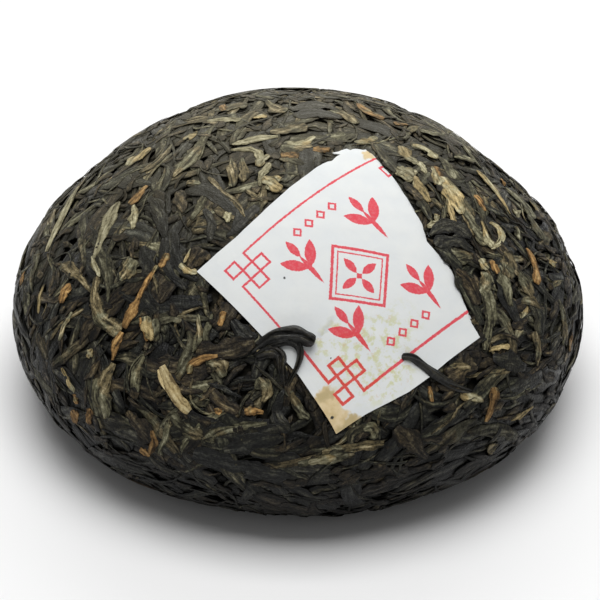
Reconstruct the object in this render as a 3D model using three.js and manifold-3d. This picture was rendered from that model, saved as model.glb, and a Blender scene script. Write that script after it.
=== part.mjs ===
// A pu-erh tuocha: tea leaves steamed and pressed into a small cake like a bird's nest, a
// rounded cone on the outside with a hollow underneath. A paper ticket is pressed into the
// front of the crown, and two leaves lie over its edges.
//
// Millimetres, +Z up. The origin is on the surface the cake stands on, under its middle, and
// the ticket faces -Y. The cake is one solid: a plain core with the largest leaves fused on.

import * as THREE from "three";
import { mergeVertices } from "three/addons/utils/BufferGeometryUtils.js";
import Module from "manifold-3d";

const { degToRad, clamp, lerp, smoothstep } = THREE.MathUtils;

// The cake's outer form, as a profile that is turned about Z.
const RADIUS = 41; // at the widest ring
const WIDEST_Z = 12.5; // height of the widest ring
const CROWN_RADIUS = 44; // arc over the top
const CROWN_ANGLE = degToRad(47); // slope at which the arc becomes the straight flank
const SHOULDER_RADIUS = 14; // arc from the flank to the widest ring
const LIP_WIDTH = 12; // from the widest ring in to the foot
const FOOT_WIDTH = 4; // flat ring that the cake rests on
const MOUTH_EASE = 4.5; // width of the round edge between foot and hollow
const MOUTH_EASE_HEIGHT = 6;
const HOLLOW_Z = 25; // height of the hollow's ceiling
const HOLLOW_CEILING_RADIUS = 13; // arc between the hollow's wall and its ceiling
const HOLLOW_CEILING_WIDTH = 3.5; // radius of the flat middle of the ceiling

// The core under the leaves.
const CORE_DEPTH = 0.9; // how far it lies under the pressed surface
const CORE_AROUND = 32;
const CORE_ARC_PAIRS = 2; // pairs of steps along each arc of the profile
const UNEVENNESS = 0.35; // slow lumps of a hand-filled mould

// The leaves that are fused to the core, at their true size.
const LEAF_COUNT = 122;
const LEAF_LENGTH = [12, 21];
const LEAF_WIDTH = [3.4, 5]; // round the ridged section, so a leaf is a little narrower
const LEAF_THICKNESS = [1.5, 2];
const LEAF_SINK = [0.45, 0.75]; // depth of a leaf's middle under the pressed surface
const LEAF_TIP_SINK = 0.5; // how much deeper its tips are
const LEAF_BEND = 0.055; // most that a leaf turns in the surface, radians per mm
const LEAF_SIDES = 3;
const LEAF_STEPS = 3;
const LEAF_TIP = 0.3; // thickness left at a leaf's tips, as a share
const HOLLOW_LEAF_LENGTH = 11; // leaves in the tight hollow are no longer than this
const SEED = 20;

// The paper ticket.
const TICKET_RADIUS = 26.6; // distance of its middle from the cake's axis
const TICKET_AZIMUTH = degToRad(-79.5);
const TICKET_TURN = degToRad(32.3); // of its lower edge from level
const PAPER = 0.25;
const TICKET_TOP = -0.25; // its face, against the pressed surface
const CLEARANCE = 0.3; // between the ticket and the tea
const TICKET_STEPS = 12;
// Its outline, in mm along (u) and across (v) from its middle: a rectangle 30 mm wide whose
// upper right end the leaves cover in an uneven line, with one notch in its upper edge.
const TICKET_OUTLINE = [
  [-11.5, -14.6],
  [-5, -15],
  [5.4, -15.8],
  [12.9, -15.6],
  [14.4, -10.5],
  [16, -5],
  [15.5, -1.5],
  [17.2, 2.5],
  [18.5, 8],
  [19.4, 12.6],
  [19, 14.8],
  [16.7, 16.3],
  [13.7, 17],
  [13.9, 15.9],
  [5.3, 15.2],
  [-4.2, 14.5],
  [-11.5, 14.3],
];

// The two leaves over the ticket's edges, as (u, v, height over the pressed surface).
const LOOP_PATH = [
  [-15.8, -0.4, -1.2],
  [-12.6, 1.1, 0.6],
  [-9.6, 1.0, 1.0],
  [-7.1, -0.9, 1.0],
  [-6.4, -3.0, 0.9],
  [-8.3, -4.2, 0.9],
  [-10.6, -5.0, 0.8],
  [-13.6, -6.7, -1.1],
];
const LOOP_WIDTH = 2.1;
const LOOP_THICKNESS = 1.5;
const LOOP_STEPS = 12;
const STRAY_PATH = [
  [1.9, -12.1, 0.75],
  [2.9, -14.0, 0.8],
  [3.8, -16.2, 0.6],
  [5.4, -19.4, -0.3],
  [6.6, -21.8, -1],
];
const STRAY_WIDTH = 1.2;
const STRAY_THICKNESS = 0.9;
const STRAY_STEPS = 6;

const SAME_POINT = 1e-3; // vertices closer than this are one

const wasm = await Module();
wasm.setup();

// A repeatable random draw from 0 to 1.
function makeDraw(seed) {
  let state = seed;
  return () => {
    state = (state + 0x6d2b79f5) | 0;
    let t = Math.imul(state ^ (state >>> 15), 1 | state);
    t = (t + Math.imul(t ^ (t >>> 7), 61 | t)) ^ t;
    return ((t ^ (t >>> 14)) >>> 0) / 4294967296;
  };
}

// The pressed surface, as points (radius, height) from the crown round the lip to the ceiling
// of the hollow.
function makeProfile() {
  const flat = Math.PI / 2 - CROWN_ANGLE;
  const rise =
    CROWN_RADIUS * (1 - Math.cos(CROWN_ANGLE)) +
    SHOULDER_RADIUS * Math.cos(CROWN_ANGLE) +
    Math.tan(CROWN_ANGLE) *
      (RADIUS - SHOULDER_RADIUS - (CROWN_RADIUS - SHOULDER_RADIUS) * Math.sin(CROWN_ANGLE));
  const footOuter = RADIUS - LIP_WIDTH;
  const footInner = footOuter - FOOT_WIDTH;
  const wall = footInner - MOUTH_EASE;
  const path = new THREE.Path();
  path.absarc(0, WIDEST_Z + rise - CROWN_RADIUS, CROWN_RADIUS, Math.PI / 2, flat, true);
  path.absarc(RADIUS - SHOULDER_RADIUS, WIDEST_Z, SHOULDER_RADIUS, flat, 0, true);
  path.absellipse(footOuter, WIDEST_Z, LIP_WIDTH, WIDEST_Z, 0, -Math.PI / 2, true);
  path.lineTo(footInner, 0);
  path.absellipse(
    footInner, MOUTH_EASE_HEIGHT, MOUTH_EASE, MOUTH_EASE_HEIGHT, -Math.PI / 2, -Math.PI, true,
  );
  path.absellipse(
    HOLLOW_CEILING_WIDTH, HOLLOW_Z - HOLLOW_CEILING_RADIUS, wall - HOLLOW_CEILING_WIDTH,
    HOLLOW_CEILING_RADIUS, 0, Math.PI / 2, false,
  );
  path.lineTo(0, HOLLOW_Z);
  return path;
}

const profile = makeProfile();
const SAMPLES = 400;
const samples = profile.getSpacedPoints(SAMPLES).map((p, i) => {
  const before = profile.getPointAt(Math.max(0, i - 0.5) / SAMPLES);
  const after = profile.getPointAt(Math.min(SAMPLES, i + 0.5) / SAMPLES);
  const along = after.sub(before).normalize();
  return { r: Math.max(0, p.x), z: p.y, nr: -along.y, nz: along.x };
});

// The foot of a point on the pressed surface, and the outward normal there.
function onSurface(point) {
  const r = Math.hypot(point.x, point.y);
  const turn = Math.atan2(point.y, point.x);
  const near = samples.reduce((a, b) =>
    Math.hypot(a.r - r, a.z - point.z) < Math.hypot(b.r - r, b.z - point.z) ? a : b,
  );
  const [c, s] = [Math.cos(turn), Math.sin(turn)];
  return {
    foot: new THREE.Vector3(near.r * c, near.r * s, near.z),
    normal: new THREE.Vector3(near.nr * c, near.nr * s, near.nz).normalize(),
  };
}

// Slow lumps, the same all round the surface at a given place.
function lump({ x, y, z }) {
  return (
    UNEVENNESS *
    (Math.sin(0.11 * x + 0.13 * z + 1) * Math.cos(0.12 * y - 0.05 * z) +
      0.5 * Math.sin(0.23 * x - 0.19 * y + 0.2 * z))
  );
}

function toSolid(geometry) {
  const bare = new THREE.BufferGeometry();
  bare.setAttribute("position", geometry.getAttribute("position")).setIndex(geometry.index);
  const merged = mergeVertices(bare, SAME_POINT);
  return new wasm.Manifold(
    new wasm.Mesh({
      numProp: 3,
      vertProperties: merged.getAttribute("position").array,
      triVerts: new Uint32Array(merged.index.array),
    }),
  );
}

function toGeometry(solid) {
  const { vertProperties, triVerts } = solid.getMesh();
  const geometry = new THREE.BufferGeometry();
  geometry.setAttribute("position", new THREE.BufferAttribute(vertProperties, 3));
  geometry.setIndex(new THREE.BufferAttribute(triVerts, 1));
  geometry.computeVertexNormals();
  return geometry;
}

// Moves each vertex of a geometry to where place() puts it.
function reshape(geometry, place) {
  const position = geometry.getAttribute("position");
  const point = new THREE.Vector3();
  for (let i = 0; i < position.count; i++) {
    const moved = place(point.fromBufferAttribute(position, i));
    position.setXYZ(i, moved.x, moved.y, moved.z);
  }
  return geometry;
}

// The core: the profile turned about Z, a little under the pressed surface but for its foot.
function makeCore() {
  const outline = profile.getPoints(CORE_ARC_PAIRS);
  outline[0].x = 0;
  outline.at(-1).x = 0;
  const turned = new THREE.LatheGeometry(outline.reverse(), CORE_AROUND).rotateX(Math.PI / 2);
  return toSolid(
    reshape(turned, (p) => {
      const depth = smoothstep(p.z, 0, WIDEST_Z / 2) * (CORE_DEPTH - lump(p));
      return p.addScaledVector(onSurface(p).normal, -depth);
    }),
  );
}

// A closed leaf: a thin, flat-oval section carried along stations and narrowed to both tips.
// Each station has a middle, a normal away from the cake and an across direction.
function makeLeaf(stations, width, thickness) {
  const last = stations.length - 1;
  const column = new THREE.CylinderGeometry(0.5, 0.5, last, LEAF_SIDES, last);
  return toSolid(
    reshape(column, (p) => {
      const step = Math.round(p.y + last / 2);
      const { middle, normal, across } = stations[step];
      const full = lerp(LEAF_TIP, 1, Math.sqrt(Math.sin((Math.PI * step) / last)));
      return middle
        .clone()
        .addScaledVector(across, p.x * width * full)
        .addScaledVector(normal, p.z * thickness * full);
    }),
  );
}

// Stations along a leaf that lies in the pressed surface, bent to one side.
function layLeaf(start, heading, length, bend, sink) {
  const stations = [];
  const step = length / LEAF_STEPS;
  let { foot, normal } = onSurface(start);
  const level = new THREE.Vector3(-foot.y, foot.x, 0).normalize();
  const along = level.applyAxisAngle(normal, heading - (bend * length) / 2);
  for (let i = 0; i <= LEAF_STEPS; i++) {
    const across = new THREE.Vector3().crossVectors(along, normal).normalize();
    const depth = sink + LEAF_TIP_SINK * ((2 * i) / LEAF_STEPS - 1) ** 2;
    stations.push({ middle: foot.clone().addScaledVector(normal, -depth), normal, across });
    ({ foot, normal } = onSurface(foot.clone().addScaledVector(along, step)));
    along.projectOnPlane(normal).normalize().applyAxisAngle(normal, bend * step);
  }
  return stations;
}

// The places of the leaves: a spiral that gives each the same share of the surface.
function spreadEvenly(count) {
  const golden = Math.PI * (3 - Math.sqrt(5));
  const area = [0];
  for (let i = 1; i < samples.length; i++) {
    area.push(area[i - 1] + samples[i].r + samples[i - 1].r);
  }
  return Array.from({ length: count }, (_, k) => {
    const share = ((k + 0.5) / count) * area.at(-1);
    const { r, z } = samples[area.findIndex((a) => a >= share)];
    return new THREE.Vector3(r * Math.cos(k * golden), r * Math.sin(k * golden), z);
  });
}

// The ticket's own frame on the pressed surface.
const ticketFrame = (() => {
  const [c, s] = [Math.cos(TICKET_AZIMUTH), Math.sin(TICKET_AZIMUTH)];
  const crown = samples.slice(0, samples.findIndex((q) => q.r >= RADIUS - 0.01));
  const { z } = crown.find((q) => q.r >= TICKET_RADIUS);
  const middle = new THREE.Vector3(TICKET_RADIUS * c, TICKET_RADIUS * s, z);
  const { normal } = onSurface(middle);
  const u = new THREE.Vector3(-s, c, 0).applyAxisAngle(normal, TICKET_TURN);
  return { middle, normal, u, v: new THREE.Vector3().crossVectors(normal, u) };
})();

// The point (u, v) of the ticket, at a height over the pressed surface.
function onTicket(u, v, height) {
  const { middle, normal } = ticketFrame;
  let point = middle.clone().addScaledVector(ticketFrame.u, u).addScaledVector(ticketFrame.v, v);
  for (let i = 0; i < 12; i++) {
    const gap = onSurface(point).foot.sub(point).dot(onSurface(point).normal);
    point = point.addScaledVector(normal, gap / normal.dot(onSurface(point).normal));
  }
  const surface = onSurface(point);
  return { point: point.addScaledVector(surface.normal, height), normal: surface.normal };
}

// A sheet that follows the pressed surface between two heights, cut to the ticket's outline
// grown by a margin.
function makeTicket(low, high, margin) {
  const reach = 24;
  const sheet = new THREE.BoxGeometry(2 * reach, 2 * reach, 1, TICKET_STEPS, TICKET_STEPS, 1);
  const bent = toSolid(
    reshape(sheet, (p) => onTicket(p.x, p.y, lerp(low, high, p.z + 0.5)).point),
  );
  const grown = TICKET_OUTLINE.map(([u, v]) => {
    const size = Math.hypot(u, v);
    return new THREE.Vector2(u, v).multiplyScalar((size + margin) / size);
  });
  const prism = new THREE.ExtrudeGeometry(new THREE.Shape(grown), {
    depth: 2 * reach,
    bevelEnabled: false,
  }).translate(0, 0, -reach);
  const { middle, normal, u, v } = ticketFrame;
  prism.applyMatrix4(new THREE.Matrix4().makeBasis(u, v, normal).setPosition(middle));
  return bent.intersect(toSolid(prism));
}

// A leaf on the ticket, along a smooth line through points (u, v, height).
function makeLeafOnTicket(path, width, thickness, steps) {
  const line = new THREE.CatmullRomCurve3(path.map(([u, v, h]) => onTicket(u, v, h).point));
  const stations = line.getSpacedPoints(steps).map((middle, i) => {
    const { normal } = onSurface(middle);
    const along = line.getTangentAt(i / steps);
    return { middle, normal, across: new THREE.Vector3().crossVectors(along, normal) };
  });
  return makeLeaf(stations, width, thickness);
}

function makeLeaves() {
  const draw = makeDraw(SEED);
  const between = ([low, high]) => lerp(low, high, draw());
  return spreadEvenly(LEAF_COUNT).map((place) => {
    const { normal } = onSurface(place);
    const inside = normal.z < 0 && Math.hypot(place.x, place.y) < RADIUS - LIP_WIDTH - FOOT_WIDTH;
    // Leaves lie every way on the crown and mostly run round the cake near its widest ring.
    const spread = Math.PI * lerp(0.5, 0.16, clamp(1 - Math.abs(normal.z), 0, 1));
    const heading = (2 * draw() - 1) * spread;
    const length = Math.min(between(LEAF_LENGTH), inside ? HOLLOW_LEAF_LENGTH : Infinity);
    const bend = (2 * draw() - 1) * LEAF_BEND;
    const width = between(LEAF_WIDTH);
    const thickness = between(LEAF_THICKNESS);
    return makeLeaf(layLeaf(place, heading, length, bend, between(LEAF_SINK)), width, thickness);
  });
}

function makeTea() {
  const ground = new THREE.BoxGeometry(4 * RADIUS, 4 * RADIUS, RADIUS).translate(0, 0, -RADIUS / 2);
  const pocket = makeTicket(
    TICKET_TOP - PAPER - CLEARANCE, CROWN_RADIUS / 4, CLEARANCE,
  );
  const pressed = wasm.Manifold.union([makeCore(), ...makeLeaves()])
    .subtract(toSolid(ground))
    .subtract(pocket);
  const whole = wasm.Manifold.union([
    pressed,
    makeLeafOnTicket(LOOP_PATH, LOOP_WIDTH, LOOP_THICKNESS, LOOP_STEPS),
    makeLeafOnTicket(STRAY_PATH, STRAY_WIDTH, STRAY_THICKNESS, STRAY_STEPS),
  ]);
  // Sealed pores between leaves and loose scraps are left out.
  const bodies = toSolid(toGeometry(whole)).decompose();
  return bodies.reduce((a, b) => (a.volume() > b.volume() ? a : b));
}

function makeMesh(name, solid, color, roughness) {
  const material = new THREE.MeshStandardMaterial({ color, roughness, metalness: 0 });
  const mesh = new THREE.Mesh(toGeometry(solid), material);
  mesh.name = name;
  return mesh;
}

const tuocha = new THREE.Group();
tuocha.name = "tuocha";
tuocha.add(makeMesh("tea", makeTea(), 0x2b241b, 0.75));
tuocha.add(makeMesh("ticket", makeTicket(TICKET_TOP - PAPER, TICKET_TOP, 0), 0xe4e6e6, 0.85));

export default tuocha;
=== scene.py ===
# %% [markdown]
# # A nest of pressed tea
# A tuocha is tea that was steamed soft, pushed into a bowl-shaped mould and left to dry. What
# shows is a skin of many hundreds of rolled leaves, all pressed to one smooth outer form, with a
# paper ticket caught between them. This lesson builds that skin leaf by leaf. The leaves are laid
# on each other in order, as in the mould, and then one rule presses the whole stack flat.
# Lengths are in millimetres until a mesh is made, because tea leaves are easy to think of so.

# %% Load the frame
import math

import bmesh
import bpy
import numpy as np
from mathutils import Matrix, Vector, noise


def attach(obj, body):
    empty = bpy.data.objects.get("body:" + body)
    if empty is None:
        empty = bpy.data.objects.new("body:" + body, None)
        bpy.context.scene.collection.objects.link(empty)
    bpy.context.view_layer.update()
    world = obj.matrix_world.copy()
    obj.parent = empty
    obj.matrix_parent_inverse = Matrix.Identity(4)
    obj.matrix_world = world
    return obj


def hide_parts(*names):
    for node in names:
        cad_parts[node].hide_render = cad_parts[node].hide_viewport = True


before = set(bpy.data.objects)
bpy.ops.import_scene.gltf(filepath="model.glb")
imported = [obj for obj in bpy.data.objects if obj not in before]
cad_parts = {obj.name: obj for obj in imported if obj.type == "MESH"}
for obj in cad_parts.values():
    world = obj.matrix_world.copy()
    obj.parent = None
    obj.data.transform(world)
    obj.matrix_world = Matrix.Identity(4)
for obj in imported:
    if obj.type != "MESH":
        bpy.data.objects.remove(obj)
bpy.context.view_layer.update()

MM = 0.001

# %% [markdown]
# ## The camera first
# The looks are judged from one place, so that place comes first. It looks down on the cake at
# 34.5 degrees from a third of a metre away, a little off level, as someone would who holds a
# camera over a table. The same numbers later turn a spot in the picture into a spot on the tea.

# %% Camera
ELEVATION = math.radians(34.5)
DISTANCE = 340.0
FOCAL_PIXELS = 2351.8  # focal length, in pixels of the 600 x 600 picture
PICTURE = 600
ROLL = 0.0135  # how far the camera leans, in radians
LOOKS_FROM_HEIGHT = 15.0  # height on the cake's axis that the camera's distance is counted from
TARGET = np.array([0.2975, 0.0, 12.958])  # the point in the picture's middle

eye = np.array([
    0.0,
    -DISTANCE * math.cos(ELEVATION),
    LOOKS_FROM_HEIGHT + DISTANCE * math.sin(ELEVATION),
])
forward = (TARGET - eye) / np.linalg.norm(TARGET - eye)
level_right = np.cross(forward, (0, 0, 1))
level_right /= np.linalg.norm(level_right)
level_up = np.cross(level_right, forward)
right = level_right * math.cos(ROLL) + level_up * math.sin(ROLL)
up = level_up * math.cos(ROLL) - level_right * math.sin(ROLL)

camera_data = bpy.data.cameras.new("camera")
camera_data.sensor_width = 36.0
camera_data.lens = FOCAL_PIXELS / PICTURE * camera_data.sensor_width
camera = bpy.data.objects.new("camera", camera_data)
camera.matrix_world = Matrix([
    [right[0], up[0], -forward[0], eye[0] * MM],
    [right[1], up[1], -forward[1], eye[1] * MM],
    [right[2], up[2], -forward[2], eye[2] * MM],
    [0, 0, 0, 1],
])
bpy.context.scene.collection.objects.link(camera)
bpy.context.scene.camera = camera
bpy.context.scene.view_settings.view_transform = "Standard"
print("lens, mm:", round(camera_data.lens, 1))

# %% [markdown]
# ## The mould's form
# The mould gives the outer form: an arc over the crown, a straight flank, a rounder shoulder and
# a lip that curls under to the foot. The hollow below is where the press's round knob was. Turned
# about the upright axis, this one line is the whole surface, so a place on it is named by how far
# along the line it lies and by its turn round the axis.

# %% Profile
RADIUS = 41.0
WIDEST_Z = 12.5
CROWN_RADIUS, CROWN_ANGLE = 44.0, math.radians(47)
SHOULDER_RADIUS = 14.0
LIP_WIDTH, FOOT_WIDTH = 12.0, 4.0
MOUTH_EASE, MOUTH_EASE_HEIGHT = 4.5, 6.0
HOLLOW_Z, HOLLOW_ARC, HOLLOW_FLAT = 25.0, 13.0, 3.5
LINE_SAMPLES = 1200


def arc(centre, radii, start, end, count=60):
    """Points of an arc of an ellipse, from one angle to another."""
    turn = np.radians(np.linspace(start, end, count))
    return np.stack([centre[0] + radii[0] * np.cos(turn), centre[1] + radii[1] * np.sin(turn)], 1)


def mould_line():
    """The mould's form as points (radius, height), from the crown to the hollow's ceiling."""
    flank = math.degrees(math.pi / 2 - CROWN_ANGLE)
    run = RADIUS - SHOULDER_RADIUS - (CROWN_RADIUS - SHOULDER_RADIUS) * math.sin(CROWN_ANGLE)
    rise = CROWN_RADIUS * (1 - math.cos(CROWN_ANGLE)) + SHOULDER_RADIUS * math.cos(CROWN_ANGLE)
    top = WIDEST_Z + rise + math.tan(CROWN_ANGLE) * run
    foot_out = RADIUS - LIP_WIDTH
    foot_in = foot_out - FOOT_WIDTH
    wall = foot_in - MOUTH_EASE
    ceiling = (wall - HOLLOW_FLAT, HOLLOW_ARC)
    return np.concatenate([
        arc((0, top - CROWN_RADIUS), (CROWN_RADIUS, CROWN_RADIUS), 90, flank),
        arc((RADIUS - SHOULDER_RADIUS, WIDEST_Z), (SHOULDER_RADIUS, SHOULDER_RADIUS), flank, 0),
        arc((foot_out, WIDEST_Z), (LIP_WIDTH, WIDEST_Z), 0, -90)[1:],
        arc((foot_in, MOUTH_EASE_HEIGHT), (MOUTH_EASE, MOUTH_EASE_HEIGHT), -90, -180),
        arc((HOLLOW_FLAT, HOLLOW_Z - HOLLOW_ARC), ceiling, 0, 90),
        [[0, HOLLOW_Z]],
    ])


corners = mould_line()
reach = np.concatenate([[0], np.cumsum(np.linalg.norm(np.diff(corners, axis=0), axis=1))])
LENGTH = reach[-1]
line_s = np.linspace(0, LENGTH, LINE_SAMPLES)
line_r = np.interp(line_s, reach, corners[:, 0])
line_z = np.interp(line_s, reach, corners[:, 1])
line_tr, line_tz = np.gradient(line_r, line_s), np.gradient(line_z, line_s)
tangent_size = np.hypot(line_tr, line_tz)
line_tr, line_tz = line_tr / tangent_size, line_tz / tangent_size
widest_s = line_s[np.argmax(line_r)]
foot_s = line_s[np.argmin(line_z)]
print("mould line, mm:", round(LENGTH, 1), "height:", round(line_z[0], 1))

# %% [markdown]
# ## Places on the mould's surface
# Everything here lies on one curved surface, so a few helpers name its places. One gives the point
# and the way out for a place, and one finds the place under any point, by sliding a guess along
# the line. A third follows a sight line from the camera until it meets the surface, step by step,
# because no formula gives that for a free form.

# %% Places
def on_line(s):
    """Radius, height and direction of the mould's line at arc lengths s."""
    return tuple(np.interp(s, line_s, values) for values in (line_r, line_z, line_tr, line_tz))


def place(s, turn):
    """Point and outward normal at arc length s and a turn about the axis."""
    r, z, tr, tz = on_line(s)
    c, n = np.cos(turn), np.sin(turn)
    return np.stack([r * c, r * n, z], -1), np.stack([-tz * c, -tz * n, tr], -1)


def settle(points, s):
    """Arc length, point and normal of the nearest place on the surface, from a guess of s."""
    r, z = np.hypot(points[..., 0], points[..., 1]), points[..., 2]
    for _ in range(4):
        pr, pz, tr, tz = on_line(s)
        s = np.clip(s + (r - pr) * tr + (z - pz) * tz, 0, LENGTH)
    return (s, *place(s, np.arctan2(points[..., 1], points[..., 0])))


def first_guess(points):
    """Arc length of the nearest of the line's samples."""
    r, z = np.hypot(points[..., 0], points[..., 1]), points[..., 2]
    coarse = slice(None, None, 8)
    gaps = (r[..., None] - line_r[coarse]) ** 2 + (z[..., None] - line_z[coarse]) ** 2
    return line_s[coarse][gaps.argmin(-1)]


# %% Places seen in the picture
START_SHORT = 70.0  # how far before the cake's axis a sight line's search starts
SIGHT_STEPS = 40


def from_picture(x, y, height=0.0):
    """The place where the sight line through pixels x, y comes to a height over the mould's form."""
    across = (np.asarray(x) - PICTURE / 2) / FOCAL_PIXELS
    above = (PICTURE / 2 - np.asarray(y)) / FOCAL_PIXELS
    ray = forward + across[..., None] * right + above[..., None] * up
    ray /= np.linalg.norm(ray, axis=-1, keepdims=True)
    points = eye + ray * (DISTANCE - START_SHORT)
    s = first_guess(points)
    for _ in range(SIGHT_STEPS):
        s, near, normal = settle(points, s)
        gap = ((points - near) * normal).sum(-1) - height
        points = points + ray * np.clip(gap, -2, 8)[..., None]
    return settle(points, s)


def turn_about(vectors, axes, angles):
    """Vectors that are square to their axes, turned about them."""
    c, n = np.cos(angles)[..., None], np.sin(angles)[..., None]
    return vectors * c + np.cross(axes, vectors) * n


def flatten(vectors, normals):
    """Vectors with their part along the normals removed, at length 1."""
    flat = vectors - (vectors * normals).sum(-1, keepdims=True) * normals
    return flat / np.linalg.norm(flat, axis=-1, keepdims=True)


middle = np.array([PICTURE / 2])
print("a spot in the picture's middle is at, mm:", from_picture(middle, middle)[1].round(1))

# %% [markdown]
# ## The ticket's own coordinates
# The paper was flat before the press bent it over the crown. Its print is laid out on the flat
# sheet, so the ticket needs coordinates of its own: u runs along its lower edge and v across.
# A point of the sheet is dropped on the mould's surface along the ticket's one normal.

# %% Ticket coordinates
TICKET_RADIUS, TICKET_TURN = 26.6, math.radians(-79.5)
TICKET_SLANT = math.radians(32.3)  # of its lower edge from level
TICKET_HEIGHT = 0.16  # of the paper over the mould's surface

ticket_s = np.interp(TICKET_RADIUS, line_r[line_s < widest_s], line_s[line_s < widest_s])
ticket_middle, ticket_normal = place(np.array(ticket_s), TICKET_TURN)
ticket_level = np.array([-math.sin(TICKET_TURN), math.cos(TICKET_TURN), 0])
ticket_u = turn_about(ticket_level, ticket_normal, np.array(TICKET_SLANT))
ticket_v = np.cross(ticket_normal, ticket_u)


def on_ticket(u, v):
    """Arc length, point and normal of the surface under the sheet's point (u, v)."""
    u, v = np.asarray(u, float), np.asarray(v, float)
    points = ticket_middle + u[..., None] * ticket_u + v[..., None] * ticket_v
    s = first_guess(points)
    for _ in range(12):
        s, near, normal = settle(points, s)
        gap = ((near - points) * normal).sum(-1)
        points = points + (gap / (normal @ ticket_normal))[..., None] * ticket_normal
    return settle(points, s)


def ticket_place(points):
    """The sheet's coordinates (u, v) of points on the surface."""
    gap = points - ticket_middle
    return gap @ ticket_u, gap @ ticket_v


print("ticket middle, mm:", ticket_middle.round(1))

# %% [markdown]
# ## The ticket's outline
# The sheet is a rectangle. At its upper right end the tea covers it, in an uneven line, and what
# shows is a ring of a few corners in the sheet's own millimetres. How far a spot is from that ring
# tells which leaves must stay under the paper and where the paper dips under the leaves.

# %% Outline of the sheet
SHEET_SHOWS = [
    (-11.5, -14.4), (-6.9, -14.9), (-3.4, -15.6), (-0.5, -16.1), (3.0, -16.2), (6.4, -16.0), (12.9, -16.0),
    (14.3, -10.6), (15.7, -6.8), (16.1, -5.0), (15.6, -3.5), (15.5, -1.5), (16.7, 0.6), (17.2, 2.6),
    (17.9, 5.1), (18.6, 8.2), (19.1, 11.0), (19.3, 14.4), (17.7, 15.6), (16.0, 16.5), (14.7, 16.8),
    (13.2, 17.1), (13.1, 16.2), (13.7, 15.55), (11.0, 15.8), (5.3, 15.5), (-4.2, 14.4), (-11.5, 14.1),
    (-11.1, 1.5), (-10.7, -5.5), (-11.3, -12.9),
]
COVERED_FROM = 13.0  # the sheet's u past which its edge is under the tea
DIP = 1.3  # how far the paper goes down there


def edge_gap(u, v):
    """Signed distance from the sheet's visible outline: negative on the sheet."""
    ring = np.array(SHEET_SHOWS)
    ends = np.roll(ring, -1, axis=0)
    best = np.full(np.shape(u), 1e9)
    inside = np.zeros(np.shape(u), bool)
    for (au, av), (bu, bv) in zip(ring, ends):
        du, dv = bu - au, bv - av
        share = np.clip(((u - au) * du + (v - av) * dv) / (du * du + dv * dv), 0, 1)
        best = np.minimum(best, np.hypot(u - au - share * du, v - av - share * dv))
        crosses = (av > v) != (bv > v)
        inside ^= crosses & (u < (bu - au) * (v - av) / (bv - av + 1e-12) + au)
    return np.where(inside, -best, best)


def eased(value, low, high):
    """From 0 to 1 as the value goes from low to high, with soft ends."""
    share = np.clip((value - low) / (high - low), 0, 1)
    return share * share * (3 - 2 * share)


def paper_height(u, v, gap):
    """Height of the paper over the mould's form: it dips where it runs under the tea."""
    ripple = 0.04 * np.sin(1.3 * u + 0.6 * v) * np.cos(1.0 * v + 1) + 0.02 * np.sin(2.9 * u - 2.2 * v)
    covered = eased(u, COVERED_FROM - 0.5, COVERED_FROM + 0.5)
    return TICKET_HEIGHT + ripple - DIP * eased(gap, -0.4, 0.9) * covered


print("the sheet's outline has", len(SHEET_SHOWS), "corners")

# %% [markdown]
# ## A desk for shader nodes
# A material is a tree of nodes, and wiring one up node by node takes many lines. The desk adds a
# node in one line and gives back its output as a wire. Wires can be added and multiplied like
# numbers, so the pattern reads as the sum that it is.

# %% Desk and wires
class Wire:
    """A node's output, which can be added, multiplied and so on, as a number can."""

    def __init__(self, desk, socket):
        self.desk, self.socket = desk, socket

    def __getitem__(self, name):
        return Wire(self.desk, self.socket.node.outputs[name])

    def __add__(self, other):
        return self.desk.math("ADD", self, other)

    def __sub__(self, other):
        return self.desk.math("SUBTRACT", self, other)

    def __rsub__(self, other):
        return self.desk.math("SUBTRACT", other, self)

    def __mul__(self, other):
        return self.desk.math("MULTIPLY", self, other)

    def __truediv__(self, other):
        return self.desk.math("DIVIDE", self, other)

    def __abs__(self):
        return self.desk.math("ABSOLUTE", self)


class Desk:
    """Adds nodes to a tree in one line each, and gives back their outputs as wires."""

    def __init__(self, tree):
        self.tree = tree

    def feed(self, node, inputs):
        """Links wires to a node's sockets, and sets plain values on them."""
        for name, value in dict(inputs).items():
            if isinstance(value, Wire):
                self.tree.links.new(value.socket, node.inputs[name])
            else:
                node.inputs[name].default_value = value

    def put(self, kind, inputs=(), out=0, **settings):
        node = self.tree.nodes.new(kind)
        for name, value in settings.items():
            setattr(node, name, value)
        self.feed(node, inputs)
        return Wire(self, node.outputs[out])

    def math(self, operation, *values):
        return self.put("ShaderNodeMath", enumerate(values), operation=operation)

    def vector(self, operation, a, b):
        return self.put("ShaderNodeVectorMath", {0: a, 1: b}, operation=operation)

    def mix(self, share, a, b, blend_type="MIX"):
        a, b = (colour if isinstance(colour, Wire) else (*colour, 1) for colour in (a, b))
        inputs = {0: share, 6: a, 7: b}
        return self.put("ShaderNodeMix", inputs, out=2, data_type="RGBA", blend_type=blend_type)

    def ramp(self, value, low, high, start=0.0, end=1.0):
        inputs = enumerate((value, low, high, start, end))
        return self.put("ShaderNodeMapRange", inputs, interpolation_type="SMOOTHSTEP")

    def noise(self, vector, scale, detail=2.0, roughness=0.5):
        inputs = {"Vector": vector, "Scale": scale, "Detail": detail, "Roughness": roughness}
        return self.put("ShaderNodeTexNoise", inputs)

    def bump(self, height, strength, distance):
        return self.put("ShaderNodeBump", {"Height": height, "Strength": strength, "Distance": distance})

    def surface(self, inputs):
        """The shader, and the material's end."""
        shader = self.put("ShaderNodeBsdfPrincipled", inputs)
        self.feed(self.tree.nodes.new("ShaderNodeOutputMaterial"), {"Surface": shader})


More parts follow.
